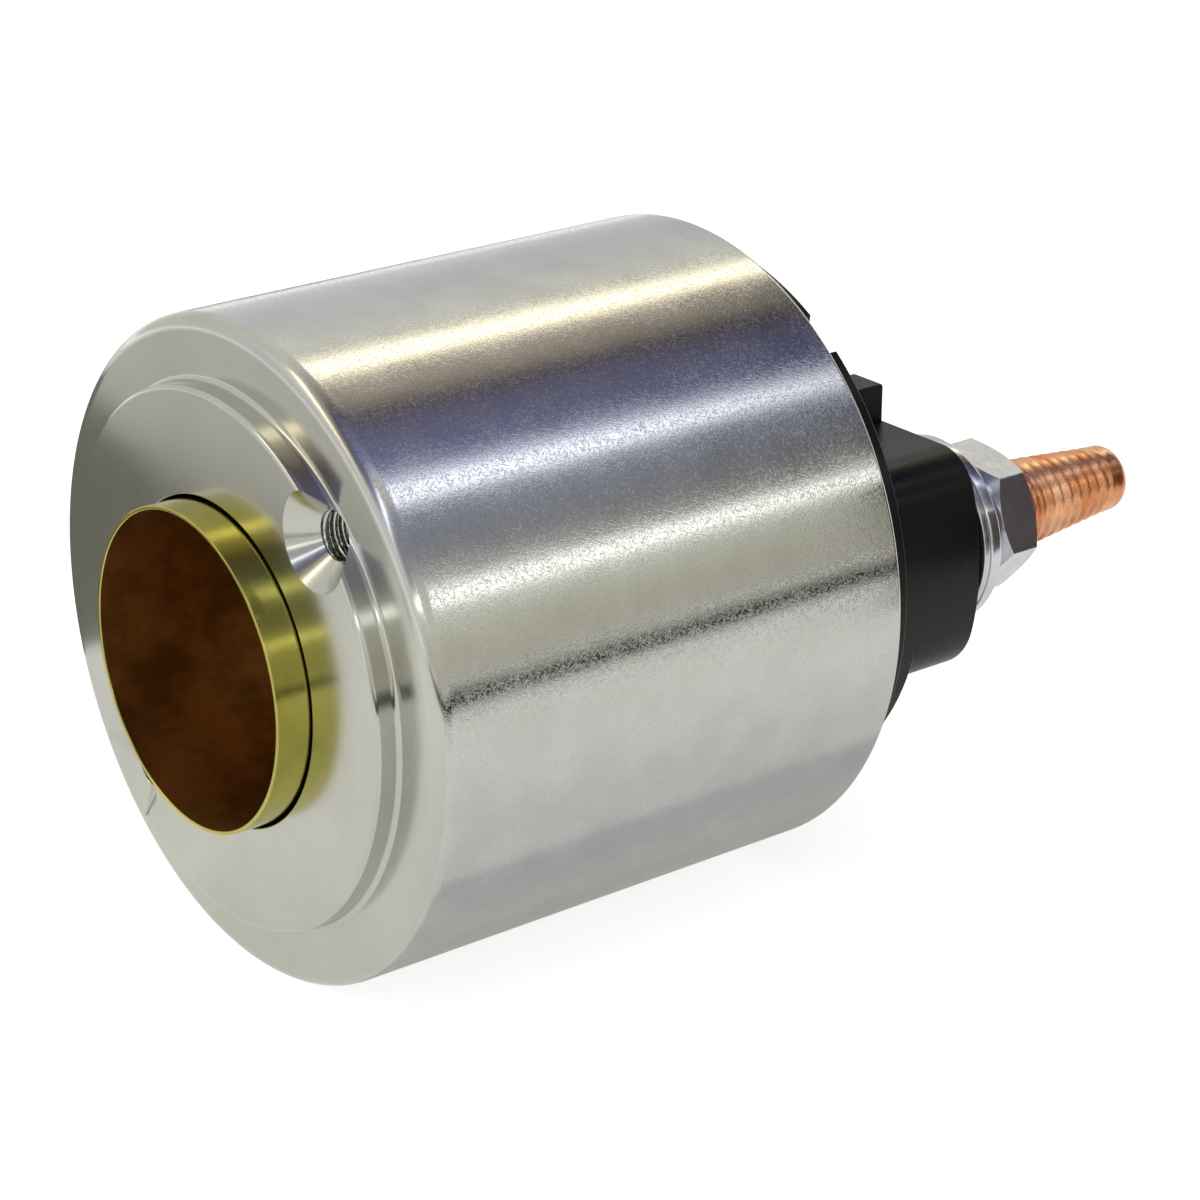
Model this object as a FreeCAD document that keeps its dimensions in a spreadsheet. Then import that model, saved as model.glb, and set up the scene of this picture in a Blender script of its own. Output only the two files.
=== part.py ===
# Starter solenoid: a plated steel can with a raised front boss and a brass guide tube, a coil round a
# fixed core inside it, a sliding contact rod, and a moulded cap with two copper terminal bolts.
# The can's axis is X, with X = 0 at the front face of the boss and the terminals towards +X. +Z is up.

import FreeCAD, Part
import math
import os
import re

import Sketcher

doc = FreeCAD.newDocument("starter_solenoid")

# Driving sizes, in millimetres and degrees. Each is set by itself.
SIZES = [
    ("can_diameter", 58.0, "outside of the steel can"),
    ("can_wall", 2.5, "wall of the can round the coil"),
    ("can_corner", 1.5, "rounding of the can's front corner"),
    ("rim_round", 0.5, "rounding of the rolled rear rim"),
    ("boss_diameter", 47.0, "raised boss on the front wall"),
    ("boss_height", 2.2, "boss in front of the can's shoulder"),
    ("boss_edge", 0.5, "rounding of the boss's edge"),
    ("boss_root", 0.5, "hollow rounding at the foot of the boss"),
    ("front_thickness", 9.5, "boss face to coil room"),
    ("coil_room", 28.5, "length of the coil room"),
    ("seat_wall", 1.1, "thinner wall of the can round core plate and cap"),
    ("lip_thickness", 1.3, "rolled lip that holds the cap"),
    ("lip_reach", 0.9, "how far the lip reaches in over the cap's flange"),
    ("fixing_spacing", 43.4, "circle of the two tapped holes"),
    ("fixing_angle", 134.6, "angle of the first tapped hole from +Y"),
    ("fixing_diameter", 4.2, "tapping drill of the fixing holes"),
    ("fixing_depth", 7.0, "depth of the fixing holes"),
    ("fixing_sink", 8.5, "mouth of the countersinks"),
    ("tube_bore", 27.4, "inside of the brass guide tube"),
    ("tube_wall", 0.35, "wall of the guide tube"),
    ("tube_reach", 3.1, "guide tube in front of the boss"),
    ("tube_overlap", 7.0, "guide tube over the core"),
    ("tube_gap", 0.25, "round gap between guide tube and boss"),
    ("tube_flare", 0.3, "how much wider the tube's rear end is opened, to slip over the core"),
    ("core_gap", 0.1, "round gap between core and guide tube"),
    ("core_length", 12.0, "core in front of the core plate"),
    ("dish_mouth", 22.0, "mouth of the core's conical seat"),
    ("dish_floor", 15.0, "floor of the core's conical seat"),
    ("dish_depth", 2.5, "depth of the core's conical seat"),
    ("spigot_diameter", 18.0, "core's spigot in the core plate"),
    ("plate_thickness", 6.0, "core plate"),
    ("seat_gap", 0.1, "round gap between the can's seat and what sits in it"),
    ("bush_diameter", 7.4, "outside of the rod's bush"),
    ("bush_length", 14.0, "length of the rod's bush"),
    ("rod_diameter", 5.0, "contact rod"),
    ("rod_chamfer", 0.5, "chamfer at both ends of the contact rod"),
    ("rod_play", 0.06, "round play of the rod in its bush"),
    ("rod_travel", 4.0, "travel of the contact rod"),
    ("rod_tail", 1.0, "rod behind its clip"),
    ("ring_diameter", 10.0, "stop ring on the rod"),
    ("ring_thickness", 1.8, "stop ring along the rod"),
    ("stop_gap", 0.1, "stop ring behind the core plate at rest"),
    ("contact_gap", 2.8, "contact bar to bolt heads at rest"),
    ("contact_overlap", 6.5, "how far the contact bar reaches behind each bolt head"),
    ("bar_width", 12.0, "contact bar"),
    ("bar_thickness", 2.5, "contact bar"),
    ("bar_corner", 2.0, "rounded corners of the contact bar"),
    ("insulator_diameter", 14.0, "flange of the insulating bush, and its washer"),
    ("insulator_flange", 1.8, "flange of the insulating bush"),
    ("insulator_neck", 9.0, "neck of the insulating bush in the bar"),
    ("insulator_washer", 1.5, "thickness of the insulating washer"),
    ("clip_diameter", 8.0, "clip behind the insulating washer"),
    ("clip_thickness", 0.8, "clip behind the insulating washer"),
    ("fit_gap", 0.05, "small gap between pieces that are fitted together"),
    ("bobbin_wall", 1.0, "tube of the bobbin"),
    ("bobbin_flange", 1.5, "flanges of the bobbin"),
    ("bobbin_gap", 0.3, "round gap between the bobbin's flanges and the can"),
    ("bobbin_play", 0.3, "bobbin to each end of the coil room"),
    ("wound_gap", 0.85, "wrapped coil below the edge of the bobbin's flanges"),
    ("hold_in_share", 0.4, "hold-in winding's share of the wire; the pull-in winding has the rest"),
    ("paper_thickness", 0.3, "paper between and round the windings"),
    ("lead_diameter", 1.0, "wire ends of the windings"),
    ("sleeve_wall", 0.6, "insulating sleeve on a wire end"),
    ("sleeve_reach", 1.6, "sleeve out of the core plate, at each side"),
    ("seal_thickness", 1.5, "flat seal between core plate and cap"),
    ("seal_width", 2.6, "flat seal across its ring"),
    ("flange_thickness", 3.7, "flange of the cap, under the lip"),
    ("disc_height", 3.8, "disc of the cap behind its flange"),
    ("disc_gap", 0.1, "round gap between lip and disc"),
    ("cap_wall", 2.0, "wall between the cap's disc and its room"),
    ("cap_inset", 4.4, "cap's flat-sided body inside the can's outline"),
    ("cap_boss_height", 10.8, "flat-sided body behind the disc"),
    ("cap_half_height", 10.7, "axis to the upper flat of the cap's body"),
    ("cap_lower_height", 10.3, "axis to the lower flat of the cap's body"),
    ("cap_corner", 4.4, "rounding between upper flat and round sides"),
    ("cap_lower_corner", 6.0, "rounding between lower flat and round sides"),
    ("cap_edge", 0.25, "rounding of the cap's outer edges"),
    ("ledge_height", 4.0, "round ledge behind the disc, below the flat-sided body"),
    ("notch_angle", 124.5, "middle of the round notch in the disc's edge, from +Y"),
    ("notch_diameter", 4.4, "notch in the disc's edge that sets the cap's turn in assembly"),
    ("notch_depth", 1.8, "notch in the disc's edge, towards the axis"),
    ("cap_end_wall", 2.8, "end wall of the cap"),
    ("cap_side_wall", 2.3, "side wall of the cap's body"),
    ("cap_rim_wall", 3.5, "wall of the cap's flange round the room inside"),
    ("rod_pocket", 9.4, "pocket for the rod's end in the end wall"),
    ("pocket_depth", 1.6, "pocket for the rod's end in the end wall"),
    ("guard_height", 3.4, "guard lugs above the cap's flat"),
    ("guard_thickness", 4.0, "guard lugs across"),
    ("guard_spacing", 18.5, "middle of one guard lug to the other"),
    ("stud_diameter", 8.0, "terminal bolts, and their thread where it is free"),
    ("stud_core", 7.2, "thread of a bolt and its nut where they engage, at its pitch diameter"),
    ("stud_inset", 8.1, "terminal bolts inside the round sides of the cap"),
    ("stud_lift", 1.5, "terminal bolts above the axis"),
    ("stud_play", 0.15, "terminal bolt in its hole through the cap"),
    ("stud_straight", 4.0, "even part of a stud behind its nut"),
    ("step_gap", 0.2, "start of the free thread behind the nut"),
    ("battery_reach", 23.8, "battery stud behind the cap"),
    ("battery_taper", 13.4, "end of the battery stud's taper, from its nut"),
    ("battery_tip", 6.2, "battery stud at the end of its taper"),
    ("motor_reach", 15.8, "motor stud behind the cap"),
    ("motor_taper", 5.8, "end of the motor stud's taper, from its nut"),
    ("motor_tip", 7.6, "motor stud at the end of its taper"),
    ("tip_chamfer", 1.1, "chamfer at a stud's tip"),
    ("head_thickness", 3.5, "contact head of a terminal bolt"),
    ("head_width", 11.0, "contact head of a terminal bolt"),
    ("head_reach", 6.5, "contact head from its bolt's axis towards the rod"),
    ("head_gap", 0.3, "outer end of a contact head to the cap's wall"),
    ("ring_seal_diameter", 12.0, "rubber ring round a bolt's shank"),
    ("ring_seal_depth", 1.2, "rubber ring round a bolt's shank"),
    ("washer_diameter", 17.1, "washer under a nut"),
    ("washer_thickness", 0.8, "washer under a nut"),
    ("washer_play", 0.2, "washer on its stud"),
    ("nut_flats", 12.0, "nut across its flats"),
    ("nut_height", 8.0, "flange nut with its flange"),
    ("nut_flange", 17.2, "flange of the nut"),
    ("nut_rim", 1.1, "thickness of the flange at its rim"),
    ("nut_cone", 2.8, "rise of the flange's cone"),
    ("nut_chamfer", 0.7, "chamfer of the corners at both ends of the hexagon"),
    ("nut_angle", 11.3, "first corner of the nut's hexagon from +Y"),
    ("blade_width", 6.3, "start blade"),
    ("blade_thickness", 0.8, "start blade"),
    ("blade_reach", 9.0, "start blade behind the cap's disc"),
    ("blade_rise", 5.8, "start blade above the cap's flat"),
    ("blade_tail", 4.0, "start blade inside the cap"),
    ("blade_shoulder", 8.4, "wide stop of the blade inside the cap"),
    ("shoulder_length", 1.2, "wide stop along the blade"),
    ("blade_play", 0.1, "start blade in its slot"),
    ("blade_hole", 2.0, "latch hole of the start blade"),
    ("blade_point", 0.7, "chamfered corners of the start blade"),
    ("motor_lead_gap", 2.1, "motor wire end outside the end of the contact bar"),
    ("motor_lead_weld", 2.6, "motor wire end, welded along its bolt's contact head"),
    ("contact_wire", 0.8, "wire of the contact spring"),
    ("contact_turns", 2.5, "turns of the contact spring"),
    ("contact_coil", 7.4, "contact spring, middle of its wire"),
    ("return_wire", 0.6, "wire of the return spring"),
    ("return_turns", 2.5, "turns of the return spring"),
    ("return_coil", 11.8, "return spring, middle of its wire"),
]

# Places and radii that follow from the driving sizes. X places are measured from the boss's front face.
PLACES = [
    ("can_radius", "can_diameter / 2"),
    ("bore_radius", "tube_bore / 2 + tube_wall + tube_gap"),
    ("boss_radius", "boss_diameter / 2"),
    ("inner_radius", "can_radius - can_wall"),
    ("seat_radius", "can_radius - seat_wall"),
    ("lip_radius", "seat_radius - lip_reach"),
    ("seated_radius", "seat_radius - seat_gap"),
    ("plate_front", "front_thickness + coil_room"),
    ("plate_back", "plate_front + plate_thickness"),
    ("cap_front", "plate_back + seal_thickness"),
    ("flange_back", "cap_front + flange_thickness"),
    ("rim_end", "flange_back + lip_thickness"),
    ("disc_radius", "lip_radius - disc_gap"),
    ("disc_back", "flange_back + disc_height"),
    ("cap_back", "disc_back + cap_boss_height"),
    ("ledge_back", "disc_back + ledge_height"),
    ("ledge_level", "cap_lower_height - cap_lower_corner"),
    ("notch_place", "disc_radius + notch_diameter / 2 - notch_depth"),
    ("room_back", "disc_back - cap_wall"),
    ("cavity_back", "cap_back - cap_end_wall"),
    ("cap_boss_radius", "can_radius - cap_inset"),
    ("room_radius", "seated_radius - cap_rim_wall"),
    ("cavity_radius", "cap_boss_radius - cap_side_wall"),
    ("cavity_half_height", "cap_lower_height - cap_side_wall"),
    ("tube_radius", "tube_bore / 2 + tube_wall"),
    ("core_front", "plate_front - core_length"),
    ("core_radius", "tube_bore / 2 + tube_flare - core_gap"),
    ("rod_radius", "rod_diameter / 2"),
    ("rod_front", "core_front - rod_travel"),
    ("ring_front", "plate_back + stop_gap"),
    ("ring_back", "ring_front + ring_thickness"),
    ("head_front", "cavity_back - head_thickness"),
    ("bar_back", "head_front - contact_gap"),
    ("bar_front", "bar_back - bar_thickness"),
    ("insulator_front", "bar_front - insulator_flange"),
    ("washer_back", "bar_back + insulator_washer"),
    ("clip_back", "washer_back + clip_thickness"),
    ("rod_back", "clip_back + rod_tail"),
    ("bobbin_front", "front_thickness + bobbin_play"),
    ("bobbin_back", "plate_front - bobbin_play"),
    ("bobbin_bore", "tube_radius + tube_flare + seat_gap"),
    ("wound_front", "bobbin_front + bobbin_flange + fit_gap"),
    ("wound_back", "bobbin_back - bobbin_flange - fit_gap"),
    ("bobbin_radius", "inner_radius - bobbin_gap"),
    ("wrap_inner", "bobbin_radius - wound_gap - paper_thickness"),
    ("hold_in_outer", "wrap_inner - fit_gap"),
    ("pull_in_inner", "bobbin_bore + bobbin_wall + fit_gap"),
    ("wire_depth", "hold_in_outer - pull_in_inner - paper_thickness - 2 * fit_gap"),
    ("hold_in_inner", "hold_in_outer - hold_in_share * wire_depth"),
    ("paper_inner", "hold_in_inner - fit_gap - paper_thickness"),
    ("pull_in_outer", "paper_inner - fit_gap"),
    ("lead_hole", "lead_diameter / 2 + sleeve_wall + 2 * fit_gap"),
    ("stud_side", "cap_boss_radius - stud_inset"),
    ("head_inner", "stud_side - head_reach"),
    ("bar_reach", "head_inner + contact_overlap"),
    ("blade_lift", "cap_half_height + blade_rise"),
    ("motor_lead_side", "bar_reach + motor_lead_gap"),
    ("start_lead_lift", "blade_lift + blade_thickness / 2 + lead_diameter / 2 + fit_gap"),
    ("motor_lead_lift", "stud_lift - head_width / 2 - lead_diameter / 2 - fit_gap"),
    ("washer_end", "cap_back + washer_thickness"),
    ("hexagon_front", "washer_end + nut_rim + nut_cone"),
    ("nut_end", "washer_end + nut_height"),
    ("guard_side", "guard_spacing / 2"),
    ("guard_top", "cap_half_height + guard_height"),
]

sheet = doc.addObject("Spreadsheet::Sheet", "sizes")
places = doc.addObject("Spreadsheet::Sheet", "places")
CELLS = {name: "sizes." + name for name, size, note in SIZES}
CELLS.update({name: "places." + name for name, formula in PLACES})


def cell_names(expression):
    """Return the expression with each plain size name turned into its cell."""
    return re.sub(r"[a-z_]+", lambda word: CELLS.get(word.group(), word.group()), expression)


for row, (name, size, note) in enumerate(SIZES, start=1):
    sheet.set("A%d" % row, note)
    sheet.set("B%d" % row, str(size))
    sheet.setAlias("B%d" % row, name)
doc.recompute()
for row, (name, formula) in enumerate(PLACES, start=1):
    own = re.sub(r"places\.([a-z_]+)", r"\1", cell_names(formula))
    places.set("A%d" % row, name)
    places.set("B%d" % row, "=" + own)
    places.setAlias("B%d" % row, name)
    doc.recompute()


def value_of(expression):
    """Work an expression out to a number."""
    return float(sheet.evalExpression(cell_names(expression)))


# Building blocks: sketches whose points are held by the cells, and the features made from them.

def new_body(name):
    """Start a piece."""
    body = doc.addObject("PartDesign::Body", name)
    body.Label = name
    return body


def new_sketch(body, name, plane, offset="0"):
    """Start a sketch on one of the piece's own planes, moved along its normal by the offset."""
    sketch = body.newObject("Sketcher::SketchObject", name)
    support = [item for item in body.Origin.OriginFeatures if item.Role == plane][0]
    sketch.AttachmentSupport = [(support, "")]
    sketch.MapMode = "FlatFace"
    if offset != "0":
        sketch.setExpression("AttachmentOffset.Base.z", cell_names(offset))
    return sketch


def hold(sketch, kind, expression, *where):
    """Add one size to a sketch and bind it to the cells."""
    index = sketch.addConstraint(Sketcher.Constraint(kind, *where, value_of(expression)))
    sketch.setExpression("Constraints[%d]" % index, cell_names(expression))


def draw_outline(sketch, points):
    """Draw a closed outline of straight lines through the points."""
    spots = [FreeCAD.Vector(value_of(along), value_of(across), 0) for along, across in points]
    lines = []
    for spot, following in zip(spots, spots[1:] + spots[:1]):
        lines.append(sketch.addGeometry(Part.LineSegment(spot, following), False))
    for line, following in zip(lines, lines[1:] + lines[:1]):
        sketch.addConstraint(Sketcher.Constraint("Coincident", line, 2, following, 1))
    for line, (along, across) in zip(lines, points):
        hold(sketch, "DistanceX", along, -1, 1, line, 1)
        hold(sketch, "DistanceY", across, -1, 1, line, 1)


def draw_circle(sketch, radius, across="0", up="0"):
    """Draw a circle at a place in the sketch."""
    centre = FreeCAD.Vector(value_of(across), value_of(up), 0)
    axis = FreeCAD.Vector(0, 0, 1)
    circle = sketch.addGeometry(Part.Circle(centre, axis, value_of(radius)), False)
    hold(sketch, "Radius", radius, circle)
    hold(sketch, "DistanceX", across, -1, 1, circle, 3)
    hold(sketch, "DistanceY", up, -1, 1, circle, 3)


def draw_arc(sketch, radius, across, up, start, end):
    """Draw an arc about a centre, between two angles in radians."""
    centre = FreeCAD.Vector(value_of(across), value_of(up), 0)
    circle = Part.Circle(centre, FreeCAD.Vector(0, 0, 1), value_of(radius))
    arc = sketch.addGeometry(Part.ArcOfCircle(circle, start, end), False)
    hold(sketch, "Radius", radius, arc)
    hold(sketch, "DistanceX", across, -1, 1, arc, 3)
    hold(sketch, "DistanceY", up, -1, 1, arc, 3)
    return arc


def draw_flatted_disc(sketch, radius, top, bottom):
    """Draw a circle that is cut off flat above and below."""
    high = math.asin(value_of(top) / value_of(radius))
    low = math.asin(value_of(bottom) / value_of(radius))
    right = draw_arc(sketch, radius, "0", "0", -low, high)
    left = draw_arc(sketch, radius, "0", "0", math.pi - high, math.pi + low)
    ends = {}
    for arc in (right, left):
        for end in (1, 2):
            ends[arc, end] = sketch.getPoint(arc, end)
            height = top if ends[arc, end].y > 0 else "-" + bottom
            hold(sketch, "DistanceY", height, -1, 1, arc, end)
    for first, second in (((right, 2), (left, 1)), ((left, 2), (right, 1))):
        line = sketch.addGeometry(Part.LineSegment(ends[first], ends[second]), False)
        sketch.addConstraint(Sketcher.Constraint("Coincident", first[0], first[1], line, 1))
        sketch.addConstraint(Sketcher.Constraint("Coincident", line, 2, second[0], second[1]))


def draw_lower_segment(sketch, radius, drop):
    """Draw the part of a circle that lies below a level line."""
    reach = math.asin(value_of(drop) / value_of(radius))
    arc = draw_arc(sketch, radius, "0", "0", math.pi + reach, 2 * math.pi - reach)
    for end in (1, 2):
        hold(sketch, "DistanceY", "-" + drop, -1, 1, arc, end)
    chord = Part.LineSegment(sketch.getPoint(arc, 2), sketch.getPoint(arc, 1))
    line = sketch.addGeometry(chord, False)
    sketch.addConstraint(Sketcher.Constraint("Coincident", arc, 2, line, 1))
    sketch.addConstraint(Sketcher.Constraint("Coincident", line, 2, arc, 1))


def turn(body, name, points, cut=False):
    """Turn an outline of (place along X, radius) round the piece's X axis."""
    sketch = new_sketch(body, name + "_outline", "XY_Plane")
    draw_outline(sketch, points)
    kind = "PartDesign::Groove" if cut else "PartDesign::Revolution"
    feature = body.newObject(kind, name)
    feature.Profile = sketch
    feature.ReferenceAxis = (sketch, ["H_Axis"])
    feature.Angle = 360
    doc.recompute()
    return feature


def ring_outline(front, back, inner, outer):
    """Outline of a plain ring."""
    return [(front, inner), (back, inner), (back, outer), (front, outer)]


def turned_ring(name, front, back, inner, outer):
    """Make a piece that is a plain ring or sleeve about the can's axis."""
    body = new_body(name)
    turn(body, name + "_turned", ring_outline(front, back, inner, outer))
    return body


def extrude(body, name, sketch, length, cut=False):
    """Add or cut a sketch's shape towards +X, or towards the sketch plane's own normal."""
    feature = body.newObject("PartDesign::Pocket" if cut else "PartDesign::Pad", name)
    feature.Profile = sketch
    feature.Reversed = cut
    feature.setExpression("Length", cell_names(length))
    doc.recompute()
    return feature


def round_edges(body, name, radius, chosen, kind="PartDesign::Fillet"):
    """Round or chamfer the edges that a test chooses."""
    base = body.Tip
    names = ["Edge%d" % number for number, edge in enumerate(base.Shape.Edges, start=1) if chosen(edge)]
    feature = body.newObject(kind, name)
    feature.Base = (base, names)
    feature.setExpression("Radius" if kind.endswith("Fillet") else "Size", cell_names(radius))
    doc.recompute()
    return feature


def near(first, second):
    """Whether two lengths are the same."""
    return abs(first - second) < 0.01


def has_curve(edge, kind):
    """Whether an edge is a straight line or a circle, as asked; a point where a cone ends is neither."""
    return not edge.Degenerated and isinstance(edge.Curve, kind)


def rings_at(place, radius):
    """Return a test for the round edges about the piece's own axis at a place and radius."""
    centre = value_of(place)
    size = value_of(radius)

    def chosen(edge):
        if not has_curve(edge, Part.Circle):
            return False
        middle = edge.Curve.Center
        on_axis = near(middle.y, 0) and near(middle.z, 0)
        return on_axis and near(middle.x, centre) and near(edge.Curve.Radius, size)

    return chosen


def edges_along(axis, side=0):
    """Return a test for the straight edges along an axis: all of them, the upper (1) or the lower ones (-1)."""
    def chosen(edge):
        if not has_curve(edge, Part.Line) or side * edge.BoundBox.Center.z < 0:
            return False
        return near(abs(getattr(edge.Curve.Direction, axis)), 1)

    return chosen


def set_apart(body, across, up):
    """Place a piece whose own axis lies beside the can's axis."""
    body.setExpression("Placement.Base.y", cell_names(across))
    body.setExpression("Placement.Base.z", cell_names(up))
    doc.recompute()


def make_housing():
    """Steel can, pressed in one piece with its thick front wall and boss, its rear rim rolled in."""
    body = new_body("housing")
    turn(body, "can", [
        ("0", "bore_radius"),
        ("front_thickness", "bore_radius"),
        ("front_thickness", "inner_radius"),
        ("plate_front", "inner_radius"),
        ("plate_front", "seat_radius"),
        ("flange_back", "seat_radius"),
        ("flange_back", "lip_radius"),
        ("rim_end", "lip_radius"),
        ("rim_end", "can_radius"),
        ("boss_height", "can_radius"),
        ("boss_height", "boss_radius"),
        ("0", "boss_radius"),
    ])
    round_edges(body, "boss_foot", "boss_root", rings_at("boss_height", "boss_radius"))
    round_edges(body, "boss_rounding", "boss_edge", rings_at("0", "boss_radius"))
    round_edges(body, "front_corner", "can_corner", rings_at("boss_height", "can_radius"))
    round_edges(body, "rear_rim", "rim_round", rings_at("rim_end", "can_radius"))
    spots = new_sketch(body, "fixing_place", "YZ_Plane")
    across = "fixing_spacing / 2 * cos(fixing_angle * 1 deg)"
    up = "fixing_spacing / 2 * sin(fixing_angle * 1 deg)"
    draw_circle(spots, "fixing_diameter / 2", across, up)
    doc.recompute()
    hole = body.newObject("PartDesign::Hole", "fixing_hole")
    hole.Profile = spots
    doc.recompute()
    hole.ThreadType = "None"
    hole.DepthType = "Dimension"
    hole.DrillPoint = "Angled"
    hole.HoleCutType = "Countersink"
    hole.Reversed = True
    hole.HoleCutCountersinkAngle = 90
    hole.setExpression("Diameter", cell_names("fixing_diameter"))
    hole.setExpression("Depth", cell_names("fixing_depth"))
    hole.setExpression("HoleCutDiameter", cell_names("fixing_sink"))
    doc.recompute()
    pair = body.newObject("PartDesign::PolarPattern", "fixing_holes")
    pair.Originals = [hole]
    pair.Axis = (spots, ["N_Axis"])
    pair.Angle = 360
    pair.Occurrences = 2
    body.Tip = pair
    doc.recompute()
    return body


def make_guide_tube():
    """Thin brass tube in which the plunger slides, opened out a little where it slips over the core."""
    body = new_body("guide_tube")
    step = "rod_front - stop_gap"
    back = "core_front + tube_overlap"
    turn(body, "tube", [
        ("-tube_reach", "tube_bore / 2"),
        (step, "tube_bore / 2"),
        (step, "tube_bore / 2 + tube_flare"),
        (back, "tube_bore / 2 + tube_flare"),
        (back, "tube_radius + tube_flare"),
        (step, "tube_radius + tube_flare"),
        (step + " - tube_wall", "tube_radius"),
        ("-tube_reach", "tube_radius"),
    ])
    return body


def make_fixed_core():
    """Steel core with a conical seat for the plunger and a spigot that is pressed into the core plate."""
    body = new_body("fixed_core")
    turn(body, "core", [
        ("core_front + dish_depth", "bush_diameter / 2"),
        ("core_front + dish_depth", "dish_floor / 2"),
        ("core_front", "dish_mouth / 2"),
        ("core_front", "core_radius"),
        ("plate_front", "core_radius"),
        ("plate_front", "spigot_diameter / 2 - fit_gap"),
        ("plate_back", "spigot_diameter / 2 - fit_gap"),
        ("plate_back", "bush_diameter / 2"),
    ])
    return body


def make_core_plate():
    """Thick steel disc that closes the magnet's iron path behind the coil, with two holes for wires."""
    body = turned_ring("core_plate", "plate_front", "plate_back", "spigot_diameter / 2", "seated_radius")
    for name, across, up in (("start", "0", "start_lead_lift"), ("motor", "motor_lead_side", "motor_lead_lift")):
        sketch = new_sketch(body, name + "_passage", "YZ_Plane", "plate_front")
        draw_circle(sketch, "lead_hole", across, up)
        extrude(body, name + "_passage_hole", sketch, "plate_thickness", cut=True)
    return body


def make_rod_bush():
    """Brass bush pressed into the core, in which the contact rod slides."""
    back = "plate_back - fit_gap"
    return turned_ring("rod_bush", back + " - bush_length", back, "rod_radius + rod_play",
                       "bush_diameter / 2 - fit_gap")


def make_bobbin():
    """Moulded spool of the coil, with two holes in its rear flange for the wire ends."""
    body = new_body("bobbin")
    turn(body, "spool", [
        ("bobbin_front", "bobbin_bore"),
        ("bobbin_back", "bobbin_bore"),
        ("bobbin_back", "bobbin_radius"),
        ("bobbin_back - bobbin_flange", "bobbin_radius"),
        ("bobbin_back - bobbin_flange", "bobbin_bore + bobbin_wall"),
        ("bobbin_front + bobbin_flange", "bobbin_bore + bobbin_wall"),
        ("bobbin_front + bobbin_flange", "bobbin_radius"),
        ("bobbin_front", "bobbin_radius"),
    ])
    for name, across, up in (("start", "0", "start_lead_lift"), ("motor", "motor_lead_side", "motor_lead_lift")):
        sketch = new_sketch(body, name + "_notch", "YZ_Plane", "bobbin_back - bobbin_flange")
        draw_circle(sketch, "lead_hole", across, up)
        extrude(body, name + "_notch_hole", sketch, "bobbin_flange", cut=True)
    return body


def make_windings():
    """Two windings one over the other, with paper between them and round the outside."""
    layers = (
        ("pull_in_winding", "pull_in_inner", "pull_in_outer"),
        ("layer_insulation", "paper_inner", "paper_inner + paper_thickness"),
        ("hold_in_winding", "hold_in_inner", "hold_in_outer"),
        ("winding_wrap", "wrap_inner", "wrap_inner + paper_thickness"),
    )
    return [turned_ring(name, "wound_front", "wound_back", inner, outer) for name, inner, outer in layers]


def make_leads():
    """Wire ends from the windings to the start blade and to the motor bolt, each in a sleeve."""
    ends = (
        ("start", "0", "start_lead_lift", "cap_front + blade_tail"),
        ("motor", "motor_lead_side", "motor_lead_lift", "head_front + motor_lead_weld"),
    )
    made = []
    for name, across, up, end in ends:
        wire = turned_ring(name + "_lead", "wound_back + fit_gap", end, "0", "lead_diameter / 2")
        inside = "lead_diameter / 2 + fit_gap"
        sleeve = turned_ring(name + "_sleeve", "plate_front - sleeve_reach + fit_gap", "plate_back + sleeve_reach",
                             inside, inside + " + sleeve_wall")
        for body in (wire, sleeve):
            set_apart(body, across, up)
            made.append(body)
    return made


def make_contact_rod():
    """Steel rod that the plunger pushes."""
    body = new_body("contact_rod")
    turn(body, "rod", ring_outline("rod_front", "rod_back", "0", "rod_radius"))
    for name, place in (("front", "rod_front"), ("back", "rod_back")):
        test = rings_at(place, "rod_radius")
        round_edges(body, "rod_%s_chamfer" % name, "rod_chamfer", test, "PartDesign::Chamfer")
    return body


def make_rod_pieces():
    """Stop ring, insulating bush and washer, and the clip, one behind the other on the rod."""
    ring = turned_ring("stop_ring", "ring_front", "ring_back", "rod_radius + fit_gap", "ring_diameter / 2")
    bush = new_body("insulating_bush")
    turn(bush, "flanged_bush", [
        ("insulator_front", "rod_radius + rod_play"),
        ("bar_back - fit_gap", "rod_radius + rod_play"),
        ("bar_back - fit_gap", "insulator_neck / 2"),
        ("bar_front", "insulator_neck / 2"),
        ("bar_front", "insulator_diameter / 2"),
        ("insulator_front", "insulator_diameter / 2"),
    ])
    washer = turned_ring("insulating_washer", "bar_back", "washer_back", "rod_radius + rod_play",
                         "insulator_diameter / 2")
    clip = turned_ring("rod_clip", "washer_back + fit_gap", "clip_back", "rod_radius + fit_gap",
                       "clip_diameter / 2")
    return [ring, bush, washer, clip]


def make_contact_bar():
    """Copper bar that joins the two bolt heads when the rod is pushed in."""
    body = new_body("contact_bar")
    sketch = new_sketch(body, "bar_outline", "YZ_Plane", "bar_front")
    draw_outline(sketch, [
        ("-bar_reach", "-bar_width / 2"),
        ("bar_reach", "-bar_width / 2"),
        ("bar_reach", "bar_width / 2"),
        ("-bar_reach", "bar_width / 2"),
    ])
    extrude(body, "bar", sketch, "bar_thickness")
    round_edges(body, "bar_corners", "bar_corner", edges_along("x"))
    hole = new_sketch(body, "bar_hole_outline", "YZ_Plane", "bar_front")
    draw_circle(hole, "insulator_neck / 2 + fit_gap")
    extrude(body, "bar_hole", hole, "bar_thickness", cut=True)
    return body


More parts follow.
